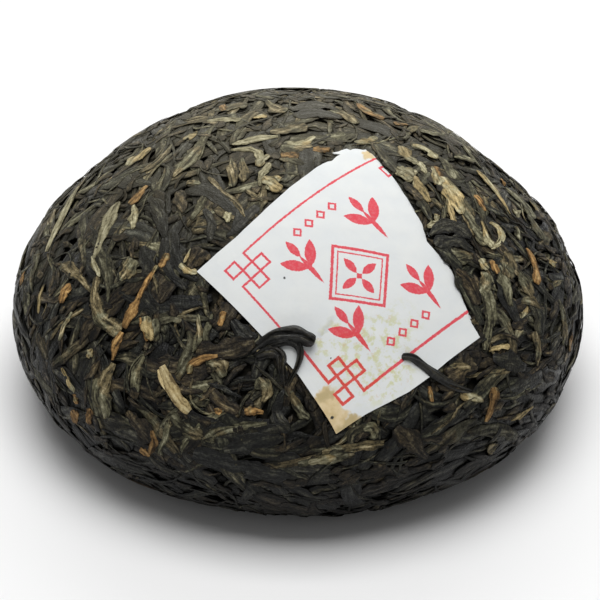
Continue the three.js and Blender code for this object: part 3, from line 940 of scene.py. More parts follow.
# Spots are pixels of the 600 x 600 picture.
SEEN = picture_rows({
    "charcoal": """
        1.7 184,191 208,192 229,204 240,219; 1.7 150,198 160,214 166,238;
        1.6 172,230 173,250 181,268 198,281; 1.3 166,238 165,258 172,276 187,289;
        1.9 144,247 147,262 150,278; 1.9 229,317 241,330 254,342; 1.9 139,296 149,303 159,311;
        1.3 290,111 314,106 338,110; 1.4 294,118 318,114 342,119; 1.8 224,449 252,443 284,437;
        2.0 194,452 222,461 252,465; 1.9 245,468 266,473 290,475; 1.7 500,280 506,300 516,322;
        1.9 492,358 508,362 525,367; 1.4 284,390 277,404 278,418 289,432; 1.1 205,210 212,226 210,242;
        0.55 208,383 226,390 242,398; 1.5 257,207 243,222 227,238""",
    "brown": """
        2.3 202,249 195,259 189,270; 2.6 214,327 224,316 234,304; 2.3 196,352 225,349 255,343;
        2.0 396,428 412,443 428,458; 2.0 446,375 461,370 477,366; 1.5 178,189 181,201 183,213;
        1.8 126,412 138,424 152,440; 1.6 212,392 224,404 240,410""",
    "green": """
        1.3 350,447 352,434 363,427 374,432 378,442; 1.7 520,288 530,300 538,316 537,334""",
    "olive": """
        1.1 87,178 78,190 70,204; 1.7 200,147 187,163 174,178; 0.9 171,143 158,160 140,174;
        1.8 135,260 128,272 121,281; 0.6 72,312 66,324 60,341; 1.2 156,319 157,330 154,341;
        2.1 113,363 106,379 101,396 107,418; 0.8 198,314 199,334 193,352; 1.5 172,416 186,428 203,437;
        1.2 203,439 222,431 267,423; 1.6 208,363 219,366 224,377; 1.5 258,378 266,390 263,402;
        1.2 298,463 326,459 354,453; 1.3 322,452 350,448 384,444; 1.2 363,429 372,428 376,438;
        1.0 497,443 492,447 487,452; 1.7 484,280 489,315 485,350; 1.0 419,132 430,134 442,136;
        1.0 454,157 464,159 474,161; 1.9 504,256 507,266 506,278; 1.5 487,274 483,285 478,295;
        1.5 436,250 452,256 471,257; 1.4 454,271 463,283 473,295; 1.3 527,215 536,227 543,239;
        1.0 515,227 518,233 520,240; 0.7 208,178 224,193 237,204 245,218; 0.6 184,184 192,183 201,185;
        0.6 245,189 254,196 263,202; 1.4 267,101 277,110 288,111; 1.2 231,159 233,172 232,186;
        1.1 242,159 244,170 243,181; 1.3 270,133 290,131 306,126; 1.2 281,149 297,149 312,147;
        2.0 97,277 95,300 104,320 121,330; 1.0 449,366 460,366 470,368; 1.3 460,199 469,219 478,234;
        0.9 534,332 538,350 536,366; 0.7 170,418 167,434 159,453; 1.1 291,391 298,407 309,419;
        1.0 558,300 565,322 562,345; 1.2 215,112 232,108 248,106; 1.1 330,112 345,116 356,124;
        1.3 505,188 522,203 534,219; 1.6 462,198 468,217 474,236; 1.3 473,228 480,238 488,243;
        1.4 498,266 505,285 509,307; 1.6 514,270 524,282 530,297; 1.4 503,252 510,262 513,275;
        1.1 520,302 531,302 540,308; 1.6 440,157 448,167 453,180; 0.9 411,147 424,149 437,157""",
    "pale": """
        1.4 79,188 63,216 47,252; 1.45 117,201 110,221 102,241 95,259; 0.7 93,257 96,267 101,277;
        1.1 134,206 135,218 133,230; 1.2 151,148 139,156 128,167; 0.9 183,139 190,137 197,136;
        0.8 181,264 187,271 197,273; 0.35 191,249 188,256 184,263; 0.8 232,145 250,140 278,138;
        0.8 287,145 303,144 315,138; 0.9 231,149 247,150 258,153 261,161; 0.7 253,118 260,116 267,117;
        0.9 270,164 262,175 260,187; 1.5 264,178 272,184 280,191; 1.3 268,190 274,182 280,177;
        0.9 257,166 263,160 270,157; 0.9 226,213 228,218 229,223; 1.3 401,147 407,158 417,164;
        0.8 412,146 427,151 437,159; 1.6 395,172 404,175 416,172; 1.1 412,178 419,192 428,206;
        0.9 419,163 422,169 425,175; 2.3 442,178 452,196 461,215; 0.7 478,170 493,188 509,215;
        0.9 489,222 499,230 500,242 490,248; 0.9 481,222 486,238 491,248; 1.1 481,259 483,265 487,270;
        0.6 510,420 521,414 532,406; 0.7 490,351 499,347 509,347; 0.8 551,260 553,264 555,267;
        0.8 208,122 226,121 241,121; 0.6 61,367 67,378 75,392; 0.8 261,345 266,341 270,336;
        0.6 282,362 284,368 285,374; 0.8 354,143 368,142 376,138; 0.8 432,228 436,224 441,223;
        0.7 437,213 437,217 436,221; 0.9 92,349 90,353 86,356; 0.9 514,209 517,213 520,217;
        1.0 308,462 322,459 336,457; 1.2 432,169 435,177 437,186; 0.9 447,200 450,212 455,224;
        1.3 146,317 149,329 152,341""",
    "stem": """
        0.9 147,186 139,196 130,205; 0.9 168,254 165,261 161,268; 0.6 158,266 149,280 139,300;
        1.1 140,297 133,311 124,328; 0.9 122,332 116,345 112,360; 1.1 71,286 65,292 61,303;
        0.7 25,272 23,278 22,285; 1.4 72,411 75,415 79,419; 1.0 92,409 90,416 89,423;
        0.8 153,430 155,442 150,453; 0.7 141,448 146,452 151,454; 0.9 190,374 191,365 202,359 218,356;
        0.9 219,408 219,411 221,414; 0.9 245,412 254,411 263,413; 1.0 495,387 492,403 486,422;
        0.6 430,386 431,394 432,402; 1.0 527,248 535,265 536,284; 0.8 491,261 493,267 497,274;
        1.1 436,168 437,177 435,186; 0.8 475,196 480,204 484,212; 0.8 281,157 290,156 299,157;
        0.9 222,104 223,108 224,112; 1.0 358,105 367,113 384,119; 0.6 394,124 400,124 407,125;
        0.7 504,177 506,180 508,183; 0.9 576,334 572,342 568,351; 0.8 225,312 222,319 220,326;
        0.6 74,394 75,399 76,404; 0.7 313,150 322,151 330,150; 0.5 141,318 143,330 147,341""",
    "straw": """
        1.35 163,366 170,383 179,400 190,412; 0.45 159,370 163,383 172,397""",
})

# %% Leaves over the ticket
# They lie on the paper along its covered end, and one over its free edge.
OVER_TICKET = picture_rows({
    "green": """
        1.3 374,146 386,161 396,174; 1.1 416,196 425,208 431,221; 1.6 435,247 448,257 459,271;
        1.2 452,267 464,291 481,324""",
    "brown": """
        1.1 404,183 413,193 421,201; 1.5 455,271 467,282 477,305""",
    "pale": """
        1.5 396,169 404,173 413,178; 1.1 413,177 421,190 428,203; 0.7 427,226 435,225 443,221;
        0.6 257,352 262,348 268,342""",
    "charcoal": """
        1.7 430,235 442,227 457,229 470,238; 1.6 434,245 447,241 459,243 472,250""",
})

# %% Strips
# Glossy strips that stand clear of the paper: a leaf folded into a hook, what hangs from it, and a
# stray one. Each is its width and thickness in mm, then spots (x, y, height over the mould).
STRIPS = [
    (2.2, 1.9, (252, 354, -0.5), (262, 345, 0.3), (272, 337.5, 0.9), (284, 334.5, 1.25), (297, 335, 1.4),
     (307, 338, 1.3), (315, 341.5, 1.1)),
    (1.05, 1.0, (262, 350, 0.1), (274, 344, 0.5), (286, 341, 0.8), (295, 342.5, 0.9), (299.3, 349, 0.95),
     (299.5, 358, 0.85), (296.5, 368, 0.5), (291, 379, 0.1), (285, 392, -0.6)),
    (1.5, 1.3, (256, 357, 0.0), (266, 353, 0.4), (275, 352, 0.55), (281, 357, 0.5), (282, 368, 0.35),
     (284, 379, 0.0), (286, 389, -0.5)),
    (1.2, 0.9, (402, 356.5, 0.35), (410, 357.5, 0.5), (418, 361, 0.55), (428, 368, 0.45), (438, 376, 0.3),
     (452, 385, 0.15), (464, 389.5, 0.0), (477, 394, -0.4)),
]
print("leaves drawn from the picture:", sum(len(v) for v in SEEN.values()))

# %% [markdown]
# ## Which places get a leaf
# A kind doesn't grow everywhere. Some kinds stay outside the hollow, olive and fibre leaves thin
# out toward the low front, which paints the front dark as shade and the crown pale as light, and
# shreds go where the stack is lowest. Each rule is a function that says yes or no for many places
# at once, so rules can be joined.

# %% Rules for places
def outer(s, turn):
    """Keeps the places outside the hollow."""
    return s < foot_s + 3


def in_hollow(s, turn):
    """Keeps the places in the hollow."""
    return s > foot_s


def out_of_sight(share):
    """Keeps all places that the camera can't see, and a share of those that it can."""
    def keep(s, turn):
        point, normal = place(s, turn)
        seen = ((eye - point) * normal).sum(-1) > 0
        return ~seen | (rng.random(len(s)) < share)
    return keep


def holes(share):
    """Keeps the places where the stack is lowest."""
    def keep(s, turn):
        point, _ = place(s, turn)
        return stack_height[cells_at(s, point)] < np.percentile(stack_height, share)
    return keep


# Painted light: pale kinds thin out toward the low front, so that the front reads as shade and the crown as
# lit.
def dark_front(low, high):
    """Keeps a share of places that grows from the low front to the top and back."""
    def keep(s, turn):
        _, normal = place(s, turn)
        share = np.interp(normal @ TOWARD_DUST_AND_LIGHT, [-0.4, 0.9], [low, high])
        return rng.random(len(s)) < share
    return keep


def both(first, second):
    """Keeps what two rules keep."""
    return lambda s, turn: first(s, turn) & second(s, turn)


print("the foot is", round(float(foot_s), 1), "mm along the mould's line")

# %% [markdown]
# ## Laying the scattered leaves
# The stack grows in layers, as in the mould: a bed of broad leaves, the dark bulk, the paler
# kinds, then threads, shreds and crumbs. Each row gives a kind, how many are tried, and the ranges
# of length, width and thickness in millimetres.

# %% Scattered leaves
LAYERS = [
    [("bed", 1000, (8, 16), (2.0, 4.0), (0.7, 1.1), {"template": COARSE, "shift": 0.7, "folds": 0.4})],
    [
        ("charcoal", 370, (8, 19), (1.2, 3.2), (0.7, 1.3), {"shift": 0.0, "keep": outer}),
        ("green", 330, (6, 15), (1.1, 2.8), (0.7, 1.3), {"shift": 2.1, "bend": 0.09, "keep": outer}),
        ("brown", 260, (5, 14), (1.1, 2.8), (0.7, 1.3), {"shift": 4.3, "bend": 0.09, "keep": outer}),
        ("flake", 70, (6, 12), (3.0, 5.0), (0.4, 0.7),
         {"shift": 5.2, "blunt": 0.3, "folds": 0.6, "keep": outer}),
        ("inner", 1450, (7, 14), (1.0, 2.6), (0.7, 1.2),
         {"template": COARSE, "shift": 1.4, "keep": in_hollow}),
    ],
    [
        ("olive", 620, (4, 12), (0.8, 2.1), (0.5, 1.0),
         {"template": MEDIUM, "shift": 3.0, "bend": 0.08, "keep": both(outer, dark_front(0.12, 0.85))}),
        ("curl", 200, (4, 10), (0.6, 1.3), (0.6, 1.0),
         {"template": MEDIUM, "shift": 0.2, "bend": 0.26, "sway": 0.22, "keep": outer}),
        ("pale", 160, (3, 8), (0.7, 1.6), (0.5, 0.9),
         {"template": MEDIUM, "shift": 5.0, "keep": both(outer, out_of_sight(0.15))}),
        ("stem", 110, (3, 9), (0.6, 1.2), (0.5, 0.9),
         {"template": MEDIUM, "shift": 0.5, "blunt": 0.2, "folds": 0.4,
          "keep": both(outer, out_of_sight(0.1))}),
    ],
    [
        ("thread", 600, (4, 12), (0.28, 0.62), (0.3, 0.5),
         {"template": COARSE, "shift": 1.0, "bend": 0.12, "sway": 0.2, "folds": 0.3}),
        ("fibre", 420, (3, 9), (0.3, 0.6), (0.3, 0.5),
         {"template": COARSE, "shift": 2.6, "bend": 0.15, "sway": 0.25, "folds": 0.3,
          "keep": both(outer, dark_front(0.1, 0.9))}),
        ("shred", 1700, (1.8, 5.5), (0.6, 1.5), (0.6, 1.1),
         {"template": COARSE, "shift": 2.0, "bend": 0.15, "keep": holes(32)}),
        ("crumb", 880, (1.2, 4.5), (0.5, 1.4), (0.5, 0.9),
         {"template": COARSE, "shift": 4.0, "bend": 0.2, "keep": outer}),
    ],
]
made = {}
for layer in LAYERS:
    for kind, *sizes, rules in layer:
        made[kind] = scattered(*sizes, **rules)
    lay([made[kind] for kind, *_ in layer])
print("scattered leaves:", sum(len(leaves["s"]) for leaves in made.values()))

# %% [markdown]
# ## Laying the drawn leaves
# The leaves that stand out go on last, the dark ones first, so that nothing hides them. Leaves
# that lie over the ticket rest on the paper. The strips are thicker than any leaf and stand in the
# air in places, so they carry heights of their own.

# %% Drawn leaves
DRAWN_WIDER = 1.18  # a leaf's rims, darkened as painted shade, make it look narrower than it is
EDGE_ON = 0.45  # a leaf that is seen from its edge is widened no more than to this share
HALF_RUBBED_AND_LIT = 0.65  # where a drawn leaf is neither lightened nor darkened


def drawn_leaves(rows, thick, **finish):
    """Leaves that are drawn from the picture, each a width and its spots."""
    stations = through_picture([row[1:] for row in rows], FINE["stations"])
    _, point, normal, across = stations
    seen = np.hypot(across @ right, across @ up).mean(1)
    widths = DRAWN_WIDER * np.array([row[0] for row in rows]) / np.clip(seen, EDGE_ON, 1)
    leaves = batch(stations, widths, [thick] * len(rows), **{"faded": 0.25, "tone": (0.5, 0.85), **finish})
    middle = normal[:, FINE["stations"] // 2]
    # Painted light and shade: paler on the crown's side that faces the lights, darker where the surface hangs
    # over.
    leaves["tone"] += 0.6 * (rubbed_and_lit(middle) - HALF_RUBBED_AND_LIT) - 0.25 * overhung(middle)
    return leaves


DRAWN = [
    [
        ("charcoal_seen", SEEN["charcoal"], 0.8, {"blunt": 0.4, "folds": 0.55, "tone": (0.25, 0.5)}),
        ("brown_seen", SEEN["brown"], 0.8, {"blunt": 0.35, "folds": 0.6, "tone": (0.55, 0.85)}),
        ("green_seen", SEEN["green"], 0.8, {"tone": (0.5, 0.8)}),
    ],
    [
        ("olive_seen", SEEN["olive"], 0.9, {}),
        ("stem_seen", SEEN["stem"], 0.8, {"blunt": 0.25, "folds": 0.4, "ragged": 0.8, "hue": (0, 0.35)}),
        ("pale_seen", SEEN["pale"], 0.8, {}),
        ("straw", SEEN["straw"], 1.1, {"blunt": 0.16, "folds": 0.35, "ragged": 0.7}),
    ],
]
ON_PAPER = {"blunt": 0.4, "tone": (0.4, 0.8), "over_ticket": True}
DRAWN += [[(kind + "_over", rows, 0.9, ON_PAPER)] for kind, rows in OVER_TICKET.items()]
for layer in DRAWN:
    for kind, rows, thick, finish in layer:
        made[kind] = drawn_leaves(rows, thick, **finish)
    for kind, *_ in layer:
        lay([made[kind]])
print("mean height of the stack, mm:", round(float(stack_height.mean()), 2))

# %% Strips in the air
LONG = tube_template(stations=40, over=19, under=9)
UNEVEN_EDGES = np.array([[0.45], [0.5], [0.6], [0.9]])  # one for each strip
SQUARE_END = 0.0001  # how little of a strip's length its ends taper over
routes = [np.array(row[2:]) for row in STRIPS]
raised = np.stack([smooth_line(route, LONG["stations"])[:, 2] for route in routes])
stations = through_picture([route[:, :2] for route in routes], LONG["stations"], raised)
widths, depths = [row[0] for row in STRIPS], [row[1] for row in STRIPS]
made["strip"] = batch(stations, widths, depths, blunt=0.15, folds=0.65, ragged=UNEVEN_EDGES, faded=0.2,
                      tone=(0.45, 0.6), open_end=SQUARE_END, raised=raised)
print("strips:", len(widths))

# %% [markdown]
# ## Every kind as one piece
# The press comes down on the finished stack, and the level that it stops at is a height that most
# of the stack stays under. Then each kind becomes one mesh with its finish.

# %% Build every kind
PRESS_STOPS = 70  # percent of the cake where the stack is lower than the level the press stops at
level = float(np.percentile(stack_height, PRESS_STOPS))
finish_of = {
    "bed": "charcoal", "flake": "brown", "inner": "green", "curl": "green", "thread": "green",
    "fibre": "olive", "shred": "brown", "crumb": "brown",
}
pieces = []
for kind, leaves in made.items():
    steps = leaves["s"].shape[1]
    template = next(form for form in (COARSE, MEDIUM, FINE, LONG) if form["stations"] == steps)
    finish = FINISH[finish_of.get(kind, kind.split("_")[0])]
    pieces.append(build("tea_" + kind, template, leaves, level, finish))
print("triangles:", {p.name: sum(len(f.vertices) - 2 for f in p.data.polygons) for p in pieces})

# %% [markdown]
# ## The core
# Under the leaves the cake is a dense dark mass, seen only as the black of the gaps. It is the
# mould's line spun about the axis, set back by the depth of the leaf layer and made lumpy.

# %% Core
CORE_DEPTH, CORE_FLOOR = 0.97, 0.3
CORE_STATIONS, CORE_STEPS = 90, 110
CORE_RELIEF, CORE_LUMP = 0.3, 1.8  # how rough the core is, and the size of its lumps
core_mesh = bmesh.new()
core_r, core_z, core_tr, core_tz = on_line(np.linspace(0, LENGTH, CORE_STATIONS))
core_r, core_z = np.maximum(core_r + core_tz * CORE_DEPTH, 0), core_z - core_tr * CORE_DEPTH
core_r[0] = core_r[-1] = 0
core_z = np.maximum(core_z, CORE_FLOOR)
line = [core_mesh.verts.new((r * MM, 0, z * MM)) for r, z in zip(core_r, core_z)]
edges = [core_mesh.edges.new(pair) for pair in zip(line, line[1:])]
bmesh.ops.spin(core_mesh, geom=line + edges, cent=(0, 0, 0), axis=(0, 0, 1), angle=math.tau,
               steps=CORE_STEPS, use_merge=True, dvec=(0, 0, 0))
bmesh.ops.remove_doubles(core_mesh, verts=core_mesh.verts, dist=1e-6)
bmesh.ops.recalc_face_normals(core_mesh, faces=core_mesh.faces)
core_mesh.normal_update()
for vert in core_mesh.verts:
    lump = noise.noise(vert.co / (CORE_LUMP * MM)) + 0.5 * noise.noise(vert.co * 2.3 / (CORE_LUMP * MM))
    vert.co += vert.normal * (CORE_RELIEF * lump - CORE_RELIEF) * MM
    vert.co.z = max(vert.co.z, CORE_RELIEF * MM)
core = new_piece("tea_core", core_mesh)
pieces.append(core)
print("core faces:", len(core.data.polygons))

# %% Core material
CORE_DARK, CORE_BROWN = (0.005, 0.0047, 0.0034), (0.024, 0.0215, 0.0155)
GRAINS = 900.0  # per metre
core_material, desk = new_material("packed tea")
where = desk.put("ShaderNodeTexCoord", out="Object")
grain = desk.noise(where, GRAINS, 4.0, 0.6)
colour = desk.mix(desk.ramp(grain, 0.35, 0.7), CORE_DARK, CORE_BROWN)
# Paler toward the top, as dust and painted sheen that lift the shade in the crown's gaps.
tall = desk.put("ShaderNodeSeparateXYZ", {0: where}, out=2)
desk.surface({
    "Base Color": desk.mix(desk.ramp(tall, 20 * MM, 40 * MM, 0.0, 0.22), colour, DUST_AND_SHEEN_COLOUR),
    "Roughness": 0.9,
    "Specular IOR Level": 0.15,
    "Normal": desk.bump(grain, 1.0, 0.3 * MM),
})
core.data.materials.append(core_material)
print("nodes in the core's material:", len(core_material.node_tree.nodes))

# %% [markdown]
# ## The ticket
# The ticket is thin white paper, cut square and printed in one red. It was flat when it was
# printed, so the sheet is cut from a flat outline, given a fine grid of cuts, and then bent over
# the crown point by point. Its right end dips under the leaves that were pressed over it.

# %% Ticket sheet
TUCK = 1.4  # how far the paper runs on under the tea
GRID = 0.8
PAPER = 0.12
CUT_FROM, CUT_TO = -20, 24  # past the sheet on every side
CREASE = 0.7  # an edge that turns by more than this, in radians, is cut paper
sheet = bmesh.new()
ring = [sheet.verts.new((u + TUCK * (u > COVERED_FROM), v, 0)) for u, v in SHEET_SHOWS]
sheet.faces.new(ring)
for cut in np.arange(CUT_FROM, CUT_TO, GRID):
    for axis in ((1, 0, 0), (0, 1, 0)):
        geometry = sheet.verts[:] + sheet.edges[:] + sheet.faces[:]
        spot = tuple(cut * a for a in axis)
        bmesh.ops.bisect_plane(sheet, geom=geometry, plane_co=spot, plane_no=axis, dist=1e-5)
bmesh.ops.triangulate(sheet, faces=[f for f in sheet.faces if len(f.verts) > 4])
flat = np.array([v.co[:2] for v in sheet.verts])
_, near, normal = on_ticket(flat[:, 0], flat[:, 1])
over = paper_height(flat[:, 0], flat[:, 1], edge_gap(flat[:, 0], flat[:, 1]))
for vert, spot in zip(sheet.verts, near + normal * over[:, None]):
    vert.co = Vector(spot * MM)
sheet.normal_update()
if sum(f.normal.dot(Vector(ticket_normal)) for f in sheet.faces) < 0:
    bmesh.ops.reverse_faces(sheet, faces=sheet.faces[:])
bmesh.ops.solidify(sheet, geom=sheet.faces[:], thickness=PAPER * MM)
sheet.normal_update()
for edge in sheet.edges:
    edge.smooth = edge.calc_face_angle(math.pi) < CREASE
for face in sheet.faces:
    face.smooth = True
layer = sheet.loops.layers.uv.new("sheet")
for face in sheet.faces:
    for loop in face.loops:
        loop[layer].uv = ticket_place(np.array(loop.vert.co) / MM)
ticket = new_piece("ticket_sheet", sheet)
print("ticket faces:", len(ticket.data.polygons))

# %% [markdown]
# ## The marks of the print
# The print is a thin red frame whose corners are knots of four small squares, an old and common
# pattern. Inside it stand a lozenge and a few tea sprigs. Each kind of mark is a node group that
# works out the distance to the mark's edge, in millimetres on the flat sheet, so that ink can
# fade out over the same short width everywhere.

# %% Marks as node groups
INK_EDGE = 0.05  # half the width over which ink fades out


def mark_group(name, numbers):
    """A group for a kind of mark: itself, its desk, offsets from its centre, its numbers, its end."""
    inputs = [("Sheet", "NodeSocketVector", None)]
    inputs += [(label, "NodeSocketFloat", 0.0) for label in ("Centre U", "Centre V", *numbers)]
    group, desk, given, end = new_group(name, inputs, ["Mask"])
    at = desk.put("ShaderNodeSeparateXYZ", {0: given["Sheet"]})
    offsets = at[0] - given["Centre U"], at[1] - given["Centre V"]
    return group, desk, offsets, [given[label] for label in numbers], end


def ink_inside(desk, distance, end, line=None):
    """Ink where the distance is below nothing, or in a band of this width along the edge's inside."""
    if line is not None:
        distance = abs(distance + line * 0.5) - line * 0.5
    desk.feed(end, {"Mask": desk.ramp(distance, -INK_EDGE, INK_EDGE, 1.0, 0.0)})


numbers = ("Half U", "Half V", "Line")
box_mark, desk, (du, dv), (half_u, half_v, line), end = mark_group("printed box", numbers)
ink_inside(desk, desk.math("MAXIMUM", abs(du) - half_u, abs(dv) - half_v), end, line)

lozenge_mark, desk, (du, dv), (far, line), end = mark_group("printed lozenge", ("Reach", "Line"))
ink_inside(desk, (abs(du) + abs(dv) - far) * math.sqrt(0.5), end, line)

lens_mark, desk, (du, dv), (turn, long, wide), end = mark_group("printed lens", ("Turn", "Long", "Wide"))
c, n = desk.math("COSINE", turn), desk.math("SINE", turn)
share = (du * c + dv * n) / (long * 0.5)
ink_inside(desk, abs(dv * c - du * n) - wide * 0.5 * (1.0 - share * share), end)

spot_mark, desk, (du, dv), (far_u, far_v, soft), end = mark_group("soft spot", ("Reach U", "Reach V", "Soft"))
share_u, share_v = du / far_u, dv / far_v
away = desk.math("SQRT", share_u * share_u + share_v * share_v)
desk.feed(end, {"Mask": desk.ramp(away, 1.0 - soft, soft + 1.0, 1.0, 0.0)})
print("marks:", box_mark.name, lozenge_mark.name, lens_mark.name, spot_mark.name)

# %% [markdown]
# ## What is printed where
# The layout is a list of marks, each a kind of mark and its numbers. Small functions make the
# knots, sprigs and the middle lozenge from their places, as a printer's stamps would.

# %% What is printed where
LINE, KNOT_LINE, BOLD, SOLID = 0.3, 0.32, 0.4, 9.0
SQUARE = 1.68  # side of a knot's squares
FRAME_LEFT, FRAME_RIGHT, FRAME_LOW, FRAME_HIGH = -8.7, 22.9, -12.4, 11.8
FRAME_LEFT_LOW = -8.35  # the line below the hooked leaf, where the paper is creased
CREASED_AT = -2.0
UPPER_KNOT, LOWER_KNOT, FAR_KNOT = (-6.4, 9.25), (-6.1, -9.6), (20.5, 9.4)
RUNS_UNDER = 17.0  # how far the lower line runs, under the tea
HALF = SQUARE / 2
MIDDLE = (4.0, -0.3)
SPRIGS = [(-0.4, 5.4), (-1.4, -5.3), (10.9, 5.2), (10.4, -6.4)]
DOTS_U, DOTS_V = (1.7, 3.8, 5.9, 8.0), (9.1, -9.6)


def bar(u1, v1, u2, v2, width=LINE):
    """A straight line between two points, level or upright."""
    half_u, half_v = (abs(u2 - u1) + width) / 2, (abs(v2 - v1) + width) / 2
    return (box_mark, (u1 + u2) / 2, (v1 + v2) / 2, half_u, half_v, SOLID)


def knot(u, v, out_u, out_v, side_u, width=KNOT_LINE):
    """Four squares at a corner of the frame, and the two ends of the frame that turn in to them."""
    side_v = FRAME_LOW if out_v < 0 else FRAME_HIGH
    in_u, in_v = u - out_u * HALF, v - out_v * HALF
    edge = HALF + width / 2
    steps = [(0, 0), (-out_u, 0), (0, -out_v), (out_u, out_v)]
    places = [(u + step_u * SQUARE, v + step_v * SQUARE) for step_u, step_v in steps]
    squares = [(box_mark, *spot, edge, edge, width) for spot in places]
    return squares + [
        bar(in_u, v + out_v * HALF, in_u, side_v, width),
        bar(u + out_u * HALF, in_v, side_u, in_v, width),
    ]


def sprig(u, v):
    """Two leaves and a bud on a stem."""
    upright, spread_angle = math.pi / 2, 0.7
    return [
        (lens_mark, u, v - 1.2, upright, 5.0, 0.7), (lens_mark, u, v + 2.3, upright, 2.9, 1.1),
        (lens_mark, u - 1.4, v + 0.5, upright + spread_angle, 3.9, 1.5),
        (lens_mark, u + 1.4, v + 0.5, upright - spread_angle, 3.9, 1.5),
    ]


def medallion(u, v):
    """A double lozenge with four petals round a dot."""
    marks = [(lozenge_mark, u, v, 5.4, 0.4), (lozenge_mark, u, v, 4.3, 0.2), (lozenge_mark, u, v, 0.5, SOLID)]
    for quarter in range(4):
        turn = quarter * math.pi / 2
        marks.append((lens_mark, u + 1.75 * math.cos(turn), v + 1.75 * math.sin(turn), turn, 2.5, 1.15))
    return marks


PRINT = knot(*UPPER_KNOT, -1, 1, FRAME_LEFT) + knot(*FAR_KNOT, 1, 1, FRAME_RIGHT)
PRINT += knot(*LOWER_KNOT, -1, -1, FRAME_LEFT_LOW, BOLD)
PRINT.append(bar(FRAME_LEFT, CREASED_AT, FRAME_LEFT, UPPER_KNOT[1] - HALF))
PRINT.append(bar(FRAME_LEFT_LOW, LOWER_KNOT[1] + HALF, FRAME_LEFT_LOW, CREASED_AT, BOLD))
PRINT.append(bar(UPPER_KNOT[0] + HALF, FRAME_HIGH, FAR_KNOT[0] - HALF, FRAME_HIGH))
PRINT.append(bar(LOWER_KNOT[0] + HALF, FRAME_LOW, RUNS_UNDER, FRAME_LOW, BOLD))
PRINT += medallion(*MIDDLE)
for place_of_sprig in SPRIGS:
    PRINT += sprig(*place_of_sprig)
PRINT += [(lozenge_mark, u, v, 0.8, 0.28) for u in DOTS_U for v in DOTS_V]
print("printed marks:", len(PRINT))

# %% [markdown]
# ## The paper
# The paper is a cool white with a faint fibre. Tea has stained it brown at the lower corner, where
# the wet leaves lay against it, and left small yellow-green specks nearby. The sheet's coordinates
# waver a little before the print is measured on them, so the ink's edge does too, and far more
# before stains are, because stains have uneven edges.

# %% Helpers for the paper
paper, desk = new_material("ticket paper")
sheet_at = desk.put("ShaderNodeUVMap", uv_map="sheet")


def wavering(size, scale, flat_at=sheet_at):
    """The sheet's coordinates, shifted about by noise of this size in mm."""
    inputs = {"Vector": sheet_at, "Scale": scale, "Detail": 2.0}
    cloud = desk.put("ShaderNodeTexNoise", inputs, out="Color")
    centred = desk.vector("SUBTRACT", cloud, (0.5, 0.5, 0.5))
    return desk.vector("ADD", flat_at, desk.vector("MULTIPLY", centred, (size, size, size)))


def any_of(masks):
    """The strongest of several masks."""
    while len(masks) > 1:
        pairs = [masks[i:i + 2] for i in range(0, len(masks), 2)]
        masks = [desk.math("MAXIMUM", *pair) if len(pair) == 2 else pair[0] for pair in pairs]
    return masks[0]


def marks(at, rows):
    """Marks on the paper as one mask. Each row is a kind of mark and its numbers."""
    return any_of([
        desk.put("ShaderNodeGroup", {0: at, **dict(enumerate(numbers, 1))}, node_tree=group)
        for group, *numbers in rows
    ])


def spots(at, *rows):
    """Soft spots as one mask. Each row is a centre, a reach both ways and how soft the rim is."""
    return marks(at, [(spot_mark, *row) for row in rows])


def patchy(scale, low, high, detail=3.0, roughness=0.65):
    """A mask in patches."""
    return desk.ramp(desk.noise(sheet_at, scale, detail, roughness), low, high)


# %% Where the print lies
# The upper half of the sheet is stretched a little over the crown, most at BOWED_AT along it.
BOW, BOWED_AT, BOWED_WIDE = 0.065, 9.0, 16.0
CRISP, LOOSE = (0.22, 3.5), (2.4, 0.7)  # size of the waver in mm, and how quick it is
split = desk.put("ShaderNodeSeparateXYZ", {0: sheet_at})
share = (split[0] - BOWED_AT) / BOWED_WIDE
higher = desk.math("MAXIMUM", split[1], 0.0) * ((1.0 - share * share) * BOW)
print_at = desk.vector("SUBTRACT", sheet_at, desk.put("ShaderNodeCombineXYZ", {1: higher}))
crisp, loose = wavering(*CRISP, print_at), wavering(*LOOSE)
ink = marks(crisp, PRINT)
print("nodes for the print:", len(paper.node_tree.nodes))

# %% Paper, stains and ink
PAPER_BLUE, PAPER_WHITE = (0.695, 0.72, 0.722), (0.735, 0.752, 0.738)
SPECKLE_GREEN, SPECKLE_RUST = (0.6, 0.61, 0.36), (0.6, 0.44, 0.24)
STAIN_TAN, STAIN_BROWN, STAIN_RIM = (0.72, 0.56, 0.31), (0.58, 0.42, 0.17), (0.4, 0.3, 0.11)
SHADE_GREY, SPECK_BLACK = (0.3, 0.31, 0.33), (0.02, 0.02, 0.02)
RED, WORN_RED, STAINED_RED = (0.66, 0.035, 0.06), (0.74, 0.075, 0.1), (0.66, 0.05, 0.035)
SPECKLED = [(-1.0, -8.7, 6.5, 3.8, 0.5), (-4.5, -5.0, 2.6, 2.3, 0.5), (-1.5, -12.8, 4.5, 2.4, 0.5)]
STAINS = [
    (-10.9, -12.2, 2.2, 3.2, 0.12), (-9.5, -9.7, 1.3, 0.9, 0.25), (-9.6, -14.6, 1.7, 0.8, 0.2),
    (18.3, 13.4, 0.9, 0.9, 0.3),
]
STAIN_RIMS = [(-9.7, -9.8, 1.4, 0.7, 0.5), (-9.8, -14.4, 2.0, 0.6, 0.5)]
SPECKS = [(-3.93, 5.5, 0.17, 0.17, 0.4), (-10.75, -12.55, 0.24, 0.2, 0.4), (-6.1, -6.5, 0.1, 0.1, 0.5)]
BESIDE_HOOK = (-4.3, -2.9, 1.8, 0.5, 0.6)  # a soft shade
RED_IS_STAINED = (*LOWER_KNOT, 5.0, 5.0, 0.4)

